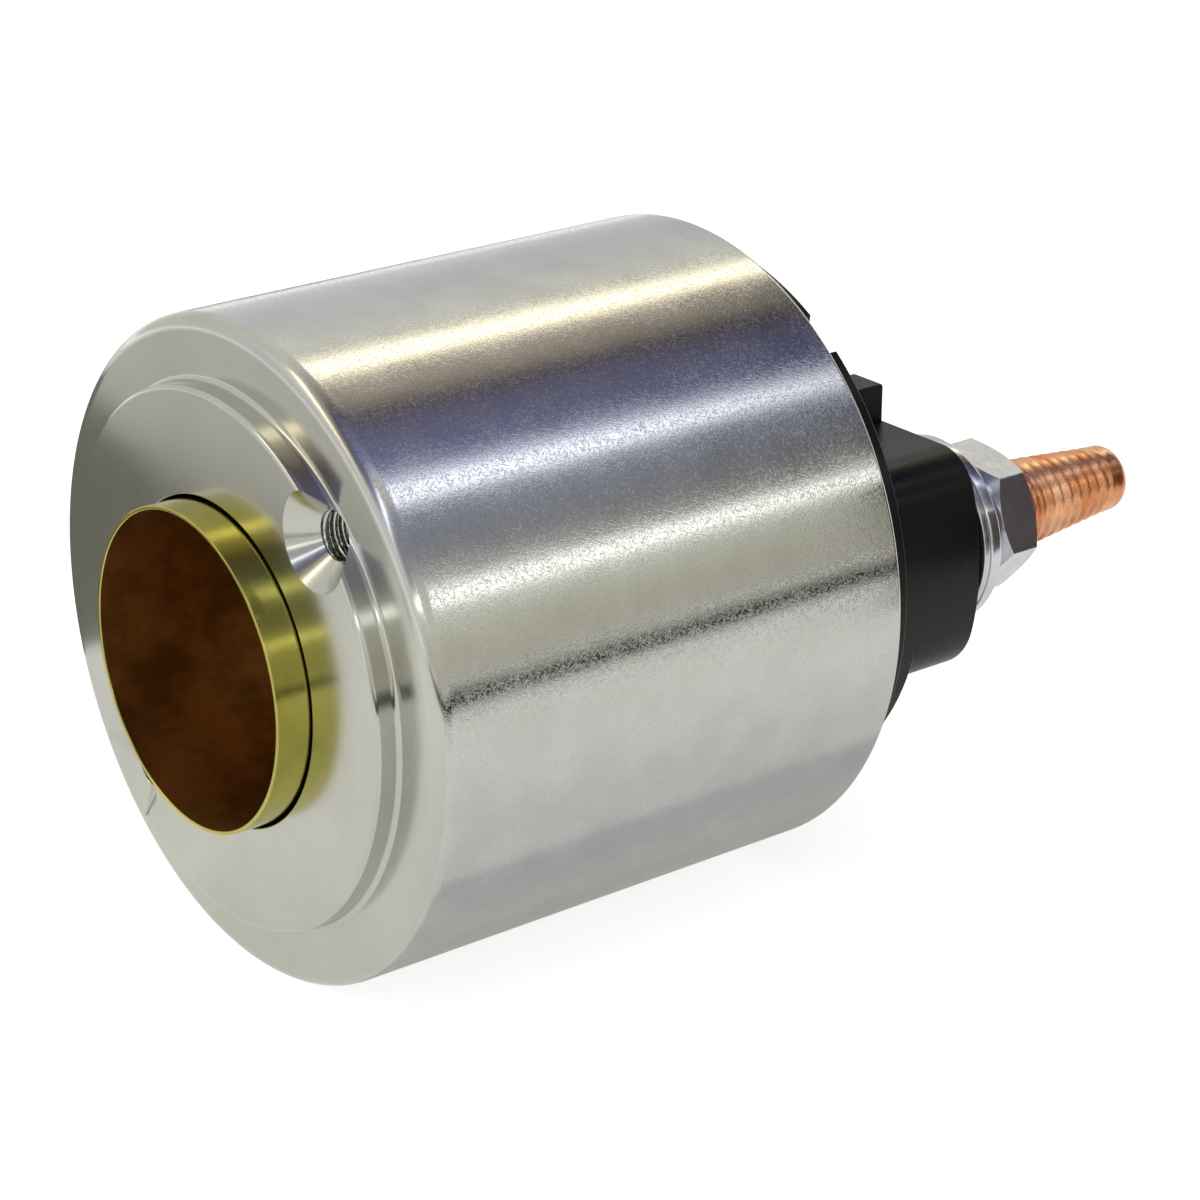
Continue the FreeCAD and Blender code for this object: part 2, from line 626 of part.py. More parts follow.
def make_spring(name, front, back, coil, wire, turns):
    """Make a round-wire spring about the can's axis between two seats."""
    body = new_body(name)
    sketch = new_sketch(body, name + "_wire", "XY_Plane")
    draw_circle(sketch, wire + " / 2", front + " + " + wire + " / 2 + fit_gap", coil + " / 2")
    feature = body.newObject("PartDesign::AdditiveHelix", name + "_coil")
    feature.Profile = sketch
    feature.ReferenceAxis = (sketch, ["H_Axis"])
    feature.Mode = "height-turns-angle"
    length = "(%s) - (%s) - %s - 2 * fit_gap" % (back, front, wire)
    feature.setExpression("Height", cell_names(length))
    feature.setExpression("Turns", cell_names(turns))
    doc.recompute()
    return body


def make_springs():
    """Contact spring on the rod, and return spring in the cap."""
    contact = make_spring("contact_spring", "ring_back", "insulator_front", "contact_coil", "contact_wire",
                          "contact_turns")
    back = make_spring("return_spring", "washer_back", "cavity_back", "return_coil", "return_wire",
                       "return_turns")
    return [contact, back]


def make_cap_seal():
    """Flat rubber ring that seals the cap against the core plate."""
    return turned_ring("cap_seal", "plate_back", "cap_front", "seated_radius - seal_width", "seated_radius")


def make_terminal_cap():
    """Moulded cap: a flange held by the can's lip, a disc, a ledge, a flat-sided body and two guard lugs."""
    body = new_body("terminal_cap")
    outline = new_sketch(body, "cap_body_outline", "YZ_Plane", "cap_front")
    draw_flatted_disc(outline, "cap_boss_radius", "cap_half_height", "cap_lower_height")
    extrude(body, "cap_body", outline, "cap_back - cap_front")
    round_edges(body, "upper_corners", "cap_corner", edges_along("x", 1))
    round_edges(body, "lower_corners", "cap_lower_corner", edges_along("x", -1))
    ledge = new_sketch(body, "ledge_outline", "YZ_Plane", "cap_front")
    draw_lower_segment(ledge, "cap_boss_radius", "ledge_level")
    extrude(body, "ledge", ledge, "ledge_back - cap_front")
    guards = new_sketch(body, "guard_outline", "YZ_Plane", "cap_front")
    for side in ("-", ""):
        inner = "%s(guard_side - guard_thickness / 2)" % side
        outer = "%s(guard_side + guard_thickness / 2)" % side
        draw_outline(guards, [
            (inner, "cavity_half_height + cap_side_wall / 2"),
            (outer, "cavity_half_height + cap_side_wall / 2"),
            (outer, "guard_top"),
            (inner, "guard_top"),
        ])
    extrude(body, "guard_lugs", guards, "cap_back - cap_front")
    top = value_of("guard_top")

    def lug_corners(edge):
        if not has_curve(edge, Part.Line):
            return False
        return near(edge.BoundBox.ZMax, top) and not near(edge.BoundBox.XMax, value_of("cap_front"))

    round_edges(body, "guard_rounding", "cap_edge", lug_corners)
    turn(body, "cap_disc", [
        ("cap_front", "0"),
        ("disc_back", "0"),
        ("disc_back", "disc_radius"),
        ("flange_back", "disc_radius"),
        ("flange_back", "seated_radius"),
        ("cap_front", "seated_radius"),
    ])
    round_edges(body, "disc_rounding", "cap_edge", rings_at("disc_back", "disc_radius"))
    room = new_sketch(body, "cap_room_outline", "YZ_Plane", "cap_front")
    draw_circle(room, "room_radius")
    extrude(body, "cap_room", room, "room_back - cap_front", cut=True)
    cavity = new_sketch(body, "contact_room_outline", "YZ_Plane", "cap_front")
    draw_flatted_disc(cavity, "cavity_radius", "cavity_half_height", "cavity_half_height")
    extrude(body, "contact_room", cavity, "cavity_back - cap_front", cut=True)
    hollow = new_sketch(body, "ledge_room_outline", "YZ_Plane", "cap_front")
    draw_lower_segment(hollow, "cavity_radius", "ledge_level")
    extrude(body, "ledge_room", hollow, "ledge_back - cap_wall - cap_front", cut=True)
    notch = new_sketch(body, "notch_outline", "YZ_Plane", "room_back")
    across = "notch_place * cos(notch_angle * 1 deg)"
    up = "notch_place * sin(notch_angle * 1 deg)"
    draw_circle(notch, "notch_diameter / 2", across, up)
    extrude(body, "notch", notch, "cap_wall", cut=True)
    pocket = new_sketch(body, "rod_pocket_outline", "YZ_Plane", "cavity_back")
    draw_circle(pocket, "rod_pocket / 2")
    extrude(body, "rod_pocket_hole", pocket, "pocket_depth", cut=True)
    holes = new_sketch(body, "stud_holes_outline", "YZ_Plane", "cavity_back")
    seats = new_sketch(body, "ring_seats_outline", "YZ_Plane", "cavity_back")
    for side in ("-stud_side", "stud_side"):
        draw_circle(holes, "stud_diameter / 2 + stud_play", side, "stud_lift")
        draw_circle(seats, "ring_seal_diameter / 2 + fit_gap", side, "stud_lift")
    extrude(body, "stud_holes", holes, "cap_end_wall", cut=True)
    extrude(body, "ring_seats", seats, "ring_seal_depth", cut=True)
    slot = new_sketch(body, "blade_slot_outline", "YZ_Plane", "room_back")
    half_width = "(blade_width / 2 + blade_play)"
    half_gap = "(blade_thickness / 2 + blade_play)"
    draw_outline(slot, [
        ("-" + half_width, "blade_lift - " + half_gap),
        (half_width, "blade_lift - " + half_gap),
        (half_width, "blade_lift + " + half_gap),
        ("-" + half_width, "blade_lift + " + half_gap),
    ])
    extrude(body, "blade_slot", slot, "cap_wall", cut=True)
    return body


def make_terminal_bolt(name, side, reach, taper, tip):
    """Copper bolt with a flat contact head inside the cap and a threaded stud behind it."""
    body = new_body(name)
    head = new_sketch(body, name + "_head_outline", "YZ_Plane", "head_front")
    sign = "-" if side < 0 else ""
    back = "" if side < 0 else "-"
    radius = "(cavity_radius - head_gap)"
    centre = (back + "stud_side", "-stud_lift")
    top = value_of("stud_lift + head_width / 2")
    bottom = value_of("stud_lift - head_width / 2")
    low = math.asin(bottom / value_of(radius))
    high = math.asin(top / value_of(radius))
    start, end = (low, high) if side > 0 else (math.pi - high, math.pi - low)
    arc = draw_arc(head, radius, centre[0], centre[1], start, end)
    for end in (1, 2):
        half = "head_width / 2" if head.getPoint(arc, end).y > 0 else "-head_width / 2"
        hold(head, "DistanceY", half, -1, 1, arc, end)
    inner = FreeCAD.Vector(value_of("%s(head_inner - stud_side)" % sign), 0, 0)
    first = head.getPoint(arc, 2)
    last = head.getPoint(arc, 1)
    corners = [first, FreeCAD.Vector(inner.x, first.y, 0), FreeCAD.Vector(inner.x, last.y, 0), last]
    lines = []
    for spot, following in zip(corners, corners[1:]):
        lines.append(head.addGeometry(Part.LineSegment(spot, following), False))
    links = ((arc, 2, lines[0], 1), (lines[0], 2, lines[1], 1), (lines[1], 2, lines[2], 1), (lines[2], 2, arc, 1))
    for link in links:
        head.addConstraint(Sketcher.Constraint("Coincident", *link))
    for line in (lines[0], lines[2]):
        head.addConstraint(Sketcher.Constraint("Horizontal", line))
    head.addConstraint(Sketcher.Constraint("Vertical", lines[1]))
    hold(head, "DistanceX", "%s(head_inner - stud_side)" % sign, -1, 1, lines[1], 1)
    extrude(body, name + "_head", head, "head_thickness - fit_gap")
    turn(body, name + "_stud", [
        ("head_front", "0"),
        ("cap_back + %s" % reach, "0"),
        ("cap_back + %s" % reach, tip + " / 2 - tip_chamfer"),
        ("cap_back + %s - tip_chamfer" % reach, tip + " / 2"),
        ("nut_end + " + taper, tip + " / 2"),
        ("nut_end + step_gap + stud_straight", "stud_diameter / 2"),
        ("nut_end + step_gap", "stud_diameter / 2"),
        ("nut_end + step_gap", "stud_core / 2"),
        ("cap_back", "stud_core / 2"),
        ("cap_back", "stud_diameter / 2"),
        ("head_front", "stud_diameter / 2"),
    ])
    across = "%sstud_side" % sign
    set_apart(body, across, "stud_lift")
    return body


def make_nut(name, across):
    """Flange nut: a hexagon with chamfered corners on a coned flange."""
    body = new_body(name)
    hexagon = new_sketch(body, name + "_hexagon", "YZ_Plane", "hexagon_front")
    corners = []
    for turn_number in range(6):
        angle = "(nut_angle * 1 deg + %d deg)" % (60 * turn_number)
        corner = "nut_flats / 2 / cos(30 deg) * "
        corners.append((corner + "cos" + angle, corner + "sin" + angle))
    draw_outline(hexagon, corners)
    extrude(body, name + "_prism", hexagon, "nut_end - hexagon_front")
    corner_radius = "nut_flats / 2 / cos(30 deg)"
    for end, inwards in (("hexagon_front", "hexagon_front + nut_chamfer"), ("nut_end", "nut_end - nut_chamfer")):
        turn(body, "%s_chamfer_at_%s" % (name, end), [
            (end, "nut_flats / 2"),
            (end, corner_radius + " + nut_chamfer"),
            (inwards, corner_radius + " + nut_chamfer"),
            (inwards, corner_radius),
        ], cut=True)
    turn(body, name + "_flange", [
        ("washer_end", "0"),
        ("hexagon_front", "0"),
        ("hexagon_front", "nut_flats / 2"),
        ("washer_end + nut_rim", "nut_flange / 2"),
        ("washer_end", "nut_flange / 2"),
    ])
    bore = new_sketch(body, name + "_bore_outline", "YZ_Plane", "washer_end")
    draw_circle(bore, "stud_core / 2 + fit_gap")
    extrude(body, name + "_bore", bore, "nut_height", cut=True)
    set_apart(body, across, "stud_lift")
    return body


def make_terminals():
    """The two terminal bolts, each with its rubber ring, washer and nut."""
    made = [
        make_terminal_bolt("battery_bolt", -1, "battery_reach", "battery_taper", "battery_tip"),
        make_terminal_bolt("motor_bolt", 1, "motor_reach", "motor_taper", "motor_tip"),
    ]
    for name, across in (("battery", "-stud_side"), ("motor", "stud_side")):
        seal = turned_ring(name + "_seal", "cavity_back", "cavity_back + ring_seal_depth - fit_gap",
                           "stud_diameter / 2 + fit_gap", "ring_seal_diameter / 2")
        washer = turned_ring(name + "_washer", "cap_back", "washer_end", "stud_diameter / 2 + washer_play",
                             "washer_diameter / 2")
        for body in (seal, washer):
            set_apart(body, across, "stud_lift")
            made.append(body)
        made.append(make_nut(name + "_nut", across))
    return made


def make_start_blade():
    """Flat plated blade for the start wire, with a wide stop inside the cap."""
    body = new_body("start_blade")
    sketch = new_sketch(body, "blade_outline", "XY_Plane", "blade_lift - blade_thickness / 2")
    stop_back = "room_back - fit_gap"
    stop_front = "room_back - fit_gap - shoulder_length"
    end = "disc_back + blade_reach"
    half = "blade_width / 2"
    narrow = "(blade_width / 2 - blade_point)"
    wide = "blade_shoulder / 2"
    side = [
        ("room_back - blade_tail", half),
        (stop_front, half),
        (stop_front, wide),
        (stop_back, wide),
        (stop_back, half),
        (end + " - blade_point", half),
        (end, narrow),
    ]
    other_side = [(along, "-" + across) for along, across in reversed(side)]
    draw_outline(sketch, side + other_side)
    extrude(body, "blade", sketch, "blade_thickness")
    latch = new_sketch(body, "latch_outline", "XY_Plane", "blade_lift - blade_thickness / 2")
    draw_circle(latch, "blade_hole / 2", "disc_back + blade_reach / 2")
    extrude(body, "latch_hole", latch, "blade_thickness", cut=True)
    return body


pieces = [make_housing(), make_guide_tube(), make_fixed_core(), make_core_plate(), make_rod_bush()]
pieces += [make_bobbin()] + make_windings() + make_leads()
pieces += [make_contact_rod(), make_contact_bar()] + make_rod_pieces() + make_springs()
pieces += [make_cap_seal(), make_terminal_cap(), make_start_blade()] + make_terminals()

doc.recompute()
for item in doc.Objects:
    if "Invalid" in item.State or "Error" in item.State:
        raise RuntimeError("failed: " + item.Label)
for piece in pieces:
    if piece.Shape.isNull() or not piece.Shape.isValid():
        raise RuntimeError("bad shape: " + piece.Label)

os.makedirs("parts", exist_ok=True)
for piece in pieces:
    piece.Shape.exportStep(os.path.join("parts", piece.Label + ".step"))
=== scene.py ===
import math

import bmesh
import bpy
from mathutils import Matrix, Vector


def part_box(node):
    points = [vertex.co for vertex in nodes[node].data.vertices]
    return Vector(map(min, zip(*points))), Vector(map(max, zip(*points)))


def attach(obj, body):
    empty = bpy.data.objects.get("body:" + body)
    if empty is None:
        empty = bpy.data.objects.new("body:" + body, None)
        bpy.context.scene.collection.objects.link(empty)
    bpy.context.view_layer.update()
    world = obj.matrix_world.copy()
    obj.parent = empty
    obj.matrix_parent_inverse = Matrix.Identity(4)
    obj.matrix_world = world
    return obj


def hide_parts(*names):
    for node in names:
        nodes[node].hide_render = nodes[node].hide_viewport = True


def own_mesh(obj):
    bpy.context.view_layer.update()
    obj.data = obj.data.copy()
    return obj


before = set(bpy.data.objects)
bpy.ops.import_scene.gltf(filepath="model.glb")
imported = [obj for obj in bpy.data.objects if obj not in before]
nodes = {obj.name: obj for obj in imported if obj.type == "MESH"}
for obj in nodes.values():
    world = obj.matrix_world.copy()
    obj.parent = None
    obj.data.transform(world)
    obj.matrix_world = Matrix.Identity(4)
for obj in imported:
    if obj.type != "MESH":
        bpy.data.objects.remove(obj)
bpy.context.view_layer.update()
scene = bpy.context.scene

# The can: pressed from steel in one piece with its thick front wall, turned true on the boss, tapped for two
# screws with wide countersinks, and zinc plated. Its rear rim is rolled in over the cap. The sizes of all the
# pieces are in millimetres, and MM turns them into metres.
MM = 0.001
can_low, can_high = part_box("housing")
CAN_RADIUS = can_high.z / MM
CAN_END = can_high.x / MM
CAN_CORNER = 1.5
RIM_ROUND = 0.5
BOSS_RADIUS = 23.5
BOSS_HEIGHT = 2.2
BOSS_EDGE = 0.45
BOSS_ROOT = 0.5
BOSS_BORE = 14.3
BORE_EDGE = 0.15
COIL_FRONT = 9.5
COIL_BACK = 38.0
COIL_RADIUS = 26.5
SEAT_RADIUS = 27.9
LIP_FRONT = 49.2
LIP_RADIUS = 27.0
LIP_ROUND = 0.2


def rounded(corners, step=math.radians(12)):
    """Turn corners of (along, across, rounding) into a closed outline whose corners are arcs."""
    points = []
    for number, (along, across, rounding) in enumerate(corners):
        here = Vector((along, across))
        if rounding == 0:
            points.append(here)
            continue
        before = (Vector(corners[number - 1][:2]) - here).normalized()
        after = (Vector(corners[(number + 1) % len(corners)][:2]) - here).normalized()
        half = before.angle(after) / 2
        middle = here + (before + after).normalized() * rounding / math.sin(half)
        start = here + before * rounding / math.tan(half) - middle
        swing = math.pi - 2 * half
        side = 1 if before.x * after.y - before.y * after.x < 0 else -1
        steps = max(2, math.ceil(swing / step))
        for count in range(steps + 1):
            points.append(middle + Matrix.Rotation(side * swing * count / steps, 2) @ start)
    return points


def shade(mesh, sharp=32):
    """Shade a mesh smooth, apart from its sharp edges."""
    mesh.shade_smooth()
    mesh.set_sharp_from_angle(angle=math.radians(sharp))


def make_object(name, build):
    """Turn a bmesh in millimetres into an object in metres."""
    bmesh.ops.recalc_face_normals(build, faces=build.faces)
    bmesh.ops.scale(build, vec=(MM, MM, MM), verts=build.verts)
    mesh = bpy.data.meshes.new(name)
    build.to_mesh(mesh)
    build.free()
    shade(mesh)
    piece = bpy.data.objects.new(name, mesh)
    scene.collection.objects.link(piece)
    return piece


def skin(build, rings, closed):
    """Join rings of points, each as long as the next or a single point, with faces."""
    pairs = list(zip(rings, rings[1:]))
    if closed:
        pairs.append((rings[-1], rings[0]))
    for ring, following in pairs:
        count = max(len(ring), len(following))
        for number in range(count if count > 1 else 0):
            after = (number + 1) % count
            corners = [ring[number % len(ring)], ring[after % len(ring)],
                       following[after % len(following)], following[number % len(following)]]
            build.faces.new(dict.fromkeys(corners))


def on_ring(along, radius, angle, centre):
    """Point at a radius and an angle round an axis along X."""
    return along, centre[0] + radius * math.cos(angle), centre[1] + radius * math.sin(angle)


def turn(name, outline, sides=192, centre=(0, 0)):
    """Turn a closed outline of (along X, radius) round an axis along X."""
    build = bmesh.new()
    rings = []
    for along, radius in outline:
        count = sides if radius > 0 else 1
        angles = [math.tau * number / sides for number in range(count)]
        rings.append([build.verts.new(on_ring(along, radius, angle, centre)) for angle in angles])
    skin(build, rings, closed=True)
    return make_object(name, build)


def combine(piece, tool, operation):
    """Cut a tool out of a piece, join it or keep what both share, and drop the tool."""
    modifier = piece.modifiers.new(operation, "BOOLEAN")
    modifier.operation = operation
    modifier.solver = "EXACT"
    modifier.object = tool
    shaped = piece.evaluated_get(bpy.context.evaluated_depsgraph_get())
    mesh = bpy.data.meshes.new_from_object(shaped)
    piece.modifiers.clear()
    plain = piece.data
    piece.data = mesh
    bpy.data.meshes.remove(plain)
    bpy.data.objects.remove(tool)
    mesh.name = piece.name
    shade(mesh)
    return piece


def threaded(name, crests, pitch, depth, thread, sides=72, centre=(0, 0)):
    """Make a right-hand thread round an axis along X, under crests of (along, radius), faded at both ends."""
    rows_per_turn = 14
    first, last = crests[0][0], crests[-1][0]
    rows = math.ceil((last - first) / pitch * rows_per_turn)
    places = sorted({first + (last - first) * row / rows for row in range(rows + 1)} | {c[0] for c in crests})
    build = bmesh.new()
    rings = [[build.verts.new((first, *centre))]]
    for along in places:
        start, end = next(pair for pair in zip(crests, crests[1:]) if along <= pair[1][0] + 1e-6)
        share = (along - start[0]) / max(end[0] - start[0], 1e-6)
        crest = start[1] + (end[1] - start[1]) * share
        fade = min(max((along - thread[0]) / pitch, 0), max((thread[1] - along) / pitch, 0), 1)
        ring = []
        for number in range(sides):
            wave = 0.5 - 0.5 * math.cos(math.tau * (along / pitch - number / sides))
            radius = crest - depth * fade * wave
            angle = math.tau * number / sides
            ring.append(build.verts.new(on_ring(along, radius, angle, centre)))
        rings.append(ring)
    rings.append([build.verts.new((last, *centre))])
    skin(build, rings, closed=False)
    return make_object(name, build)


def add(tree, kind, values=(), **settings):
    """Add a shader node, with numbers or other nodes' sockets on its inputs."""
    made = tree.nodes.new("ShaderNode" + kind)
    for key, value in settings.items():
        setattr(made, key, value)
    for key, value in dict(values).items():
        if isinstance(value, bpy.types.NodeSocket):
            tree.links.new(value, made.inputs[key])
        else:
            made.inputs[key].default_value = value
    return made


def reckon(tree, operation, first, second=0.0, third=0.0):
    """Work out a number from one to three numbers."""
    return add(tree, "Math", {0: first, 1: second, 2: third}, operation=operation).outputs[0]


def spread(tree, value, low, high, new_low=0.0, new_high=1.0):
    """Stretch a range of a number to another range, held at both ends."""
    values = {"Value": value, "From Min": low, "From Max": high, "To Min": new_low, "To Max": new_high}
    return add(tree, "MapRange", values).outputs["Result"]


def new_effect(name, inputs, outputs):
    """Start a shader group with numbers for its inputs and outputs."""
    tree = bpy.data.node_groups.new(name, "ShaderNodeTree")
    for label, value in inputs:
        tree.interface.new_socket(label, in_out="INPUT", socket_type="NodeSocketFloat").default_value = value
    for label in outputs:
        tree.interface.new_socket(label, in_out="OUTPUT", socket_type="NodeSocketFloat")
    return tree, tree.nodes.new("NodeGroupInput"), tree.nodes.new("NodeGroupOutput")


def make_grain():
    """Fine irregular crystals of a plated or moulded surface, and the cloudy patches over them."""
    tree, start, end = new_effect("grain", [("Size", 0.3), ("Patch", 14.0)], ["Speckle", "Cloud"])
    place = add(tree, "TexCoord").outputs["Object"]
    fine = add(tree, "TexNoise", {
        "Vector": place, "Scale": reckon(tree, "DIVIDE", 1 / MM, start.outputs["Size"]), "Detail": 3.0,
        "Roughness": 0.65})
    broad = add(tree, "TexNoise", {
        "Vector": place, "Scale": reckon(tree, "DIVIDE", 1 / MM, start.outputs["Patch"]), "Detail": 4.0,
        "Roughness": 0.55})
    tree.links.new(spread(tree, fine.outputs["Fac"], 0.3, 0.7), end.inputs["Speckle"])
    tree.links.new(spread(tree, broad.outputs["Fac"], 0.35, 0.65), end.inputs["Cloud"])
    return tree


def make_round_place():
    """Place on a turned piece: turn from the top round its axis, radius and place along it in millimetres."""
    tree, start, end = new_effect("round_place", [("Across", 0.0), ("Up", 0.0)], ["Turn", "Radius", "Along"])
    parts = add(tree, "SeparateXYZ", {0: add(tree, "TexCoord").outputs["Object"]})
    across = reckon(tree, "SUBTRACT", reckon(tree, "DIVIDE", parts.outputs["Y"], MM), start.outputs["Across"])
    up = reckon(tree, "SUBTRACT", reckon(tree, "DIVIDE", parts.outputs["Z"], MM), start.outputs["Up"])
    squares = reckon(tree, "MULTIPLY_ADD", across, across, reckon(tree, "MULTIPLY", up, up))
    tree.links.new(reckon(tree, "ARCTAN2", across, up), end.inputs["Turn"])
    tree.links.new(reckon(tree, "SQRT", squares), end.inputs["Radius"])
    tree.links.new(reckon(tree, "DIVIDE", parts.outputs["X"], MM), end.inputs["Along"])
    return tree


def make_lines():
    """Fine tool marks: irregular lines across one number, which change slowly along another."""
    inputs = [("Across", 0.0), ("Along", 0.0), ("Spacing", 0.2), ("Length", 12.0)]
    tree, start, end = new_effect("tool_marks", inputs, ["Line"])
    across = reckon(tree, "DIVIDE", start.outputs["Across"], start.outputs["Spacing"])
    along = reckon(tree, "DIVIDE", start.outputs["Along"], start.outputs["Length"])
    place = add(tree, "CombineXYZ", {"X": across, "Y": along})
    noise = add(tree, "TexNoise", {"Vector": place.outputs[0], "Scale": 1.0, "Detail": 2.0, "Roughness": 0.7})
    tree.links.new(spread(tree, noise.outputs["Fac"], 0.3, 0.7), end.inputs["Line"])
    return tree


def make_streaks():
    """Short straight marks in three crossing directions, laid over a place round and along a piece, in mm."""
    inputs = [("Around", 0.0), ("Along", 0.0), ("Width", 0.1), ("Length", 0.6)]
    tree, start, end = new_effect("streaks", inputs, ["Mark"])
    place = add(tree, "CombineXYZ", {"X": start.outputs["Around"], "Y": start.outputs["Along"]})
    size = add(tree, "CombineXYZ", {"X": start.outputs["Width"], "Y": start.outputs["Length"], "Z": 1.0})
    mark = 0.0
    for degrees in (25, 88, 140):
        stretched = add(tree, "Mapping", {
            "Vector": place.outputs[0], "Rotation": (0.0, 0.0, math.radians(degrees)),
            "Scale": size.outputs[0]}, vector_type="TEXTURE")
        noise = add(tree, "TexNoise", {"Vector": stretched.outputs[0], "Scale": 1.0, "Detail": 1.0},
                    noise_dimensions="2D")
        mark = reckon(tree, "MAXIMUM", noise.outputs["Fac"], mark)
    tree.links.new(mark, end.inputs["Mark"])
    return tree


GRAIN = make_grain()
ROUND_PLACE = make_round_place()
TOOL_MARKS = make_lines()
STREAKS = make_streaks()


def use(tree, effect, **values):
    """Place a shader group in a material and give back its outputs."""
    return add(tree, "Group", values, node_tree=effect).outputs


def new_finish(name, **fixed):
    """Start a material whose shader has the fixed values."""
    material = bpy.data.materials.new(name)
    material.use_nodes = True
    shader = material.node_tree.nodes["Principled BSDF"]
    for key, value in fixed.items():
        shader.inputs[key.replace("_", " ")].default_value = value
    return material, material.node_tree, shader


def colour_between(tree, share, first, second):
    """Mix two colours by a share that changes over the surface."""
    made = add(tree, "Mix", {"Factor": share}, data_type="RGBA")
    for socket, value in (("A", first), ("B", second)):
        target = next(item for item in made.inputs if item.name == socket and item.type == "RGBA")
        if isinstance(value, bpy.types.NodeSocket):
            tree.links.new(value, target)
        else:
            target.default_value = (*value, 1.0)
    return next(item for item in made.outputs if item.type == "RGBA")


def blend(tree, first, second, share):
    """Blend two numbers, with a fixed share of the first."""
    return reckon(tree, "MULTIPLY_ADD", first, share, reckon(tree, "MULTIPLY", second, 1 - share))


def set_colour(tree, shader, share, first, second):
    """Colour the surface between two colours, by a share that changes over it."""
    tree.links.new(colour_between(tree, share, first, second), shader.inputs["Base Color"])


def set_roughness(tree, shader, share, least, varies):
    """Roughen the surface, least where the share is 0 and by as much more as it varies where it is 1."""
    tree.links.new(reckon(tree, "MULTIPLY_ADD", share, varies, least), shader.inputs["Roughness"])


def set_bump(tree, shader, height, depth):
    """Raise the surface by a height from 0 to 1 times a depth in millimetres."""
    bump = add(tree, "Bump", {"Height": height, "Distance": depth * MM, "Strength": 1.0})
    tree.links.new(bump.outputs["Normal"], shader.inputs["Normal"])


STEEL_LIGHT = (0.66, 0.66, 0.64)
STEEL_DARK = (0.6, 0.6, 0.58)
FACE_LIGHT = (0.62, 0.62, 0.58)
FACE_DARK = (0.55, 0.55, 0.51)
FLECK_RANGE = (0.56, 0.76)
PIT_SHARE = 0.25
PIT_SHADE = 0.6


def make_satin_plate(light, dark):
    """Zinc plating over drawn steel: satin, with fine crossing marks that scatter light."""
    material, tree, shader = new_finish("satin_plate", Metallic=1.0)
    grain = use(tree, GRAIN, Size=0.16, Patch=4.0)
    place = use(tree, ROUND_PLACE)
    around = reckon(tree, "MULTIPLY", place["Turn"], CAN_RADIUS)
    along = reckon(tree, "ADD", place["Along"], place["Radius"])
    streaks = use(tree, STREAKS, Around=around, Along=along, Width=0.14, Length=0.7)
    fleck = spread(tree, streaks["Mark"], *FLECK_RANGE)
    plate = colour_between(tree, grain["Cloud"], dark, light)
    pits = reckon(tree, "MULTIPLY", grain["Speckle"], PIT_SHARE)
    set_colour(tree, shader, pits, plate, [value * PIT_SHADE for value in dark])
    set_roughness(tree, shader, fleck, reckon(tree, "MULTIPLY_ADD", grain["Cloud"], 0.05, 0.07), varies=0.18)
    set_bump(tree, shader, reckon(tree, "ADD", fleck, grain["Speckle"]), depth=0.0017)
    return material


def make_turned_plate(light, dark):
    """Zinc plating over the machined front: turning marks round the axis stretch reflections across them."""
    fixed = {"Metallic": 1.0, "Anisotropic": 0.85, "Anisotropic Rotation": 0.25}
    material, tree, shader = new_finish("turned_plate", **fixed)
    grain = use(tree, GRAIN, Size=0.3, Patch=9.0)
    place = use(tree, ROUND_PLACE)
    marks = use(tree, TOOL_MARKS, Across=place["Radius"], Along=place["Turn"], Spacing=0.12, Length=2.5)
    tangent = add(tree, "Tangent", direction_type="RADIAL", axis="X")
    tree.links.new(tangent.outputs[0], shader.inputs["Tangent"])
    set_colour(tree, shader, blend(tree, marks["Line"], grain["Cloud"], share=0.4), dark, light)
    set_roughness(tree, shader, grain["Speckle"], 0.13, varies=0.05)
    set_bump(tree, shader, marks["Line"], depth=0.0006)
    return material


satin_plate = make_satin_plate(STEEL_LIGHT, STEEL_DARK)
turned_plate = make_turned_plate(FACE_LIGHT, FACE_DARK)

FIXING_CIRCLE = 21.7
FIXING_ANGLE = math.radians(134.6)
FIXING_DRILL = 2.1
FIXING_THREAD = 2.5
FIXING_DEPTH = 7.0
FIXING_PITCH = 0.8
SINK_RADIUS = 4.25
TAP_OVERLAP = 0.05
OVERCUT = 1.0
TURNED_SLOPE = -0.6
HAIR = 0.01


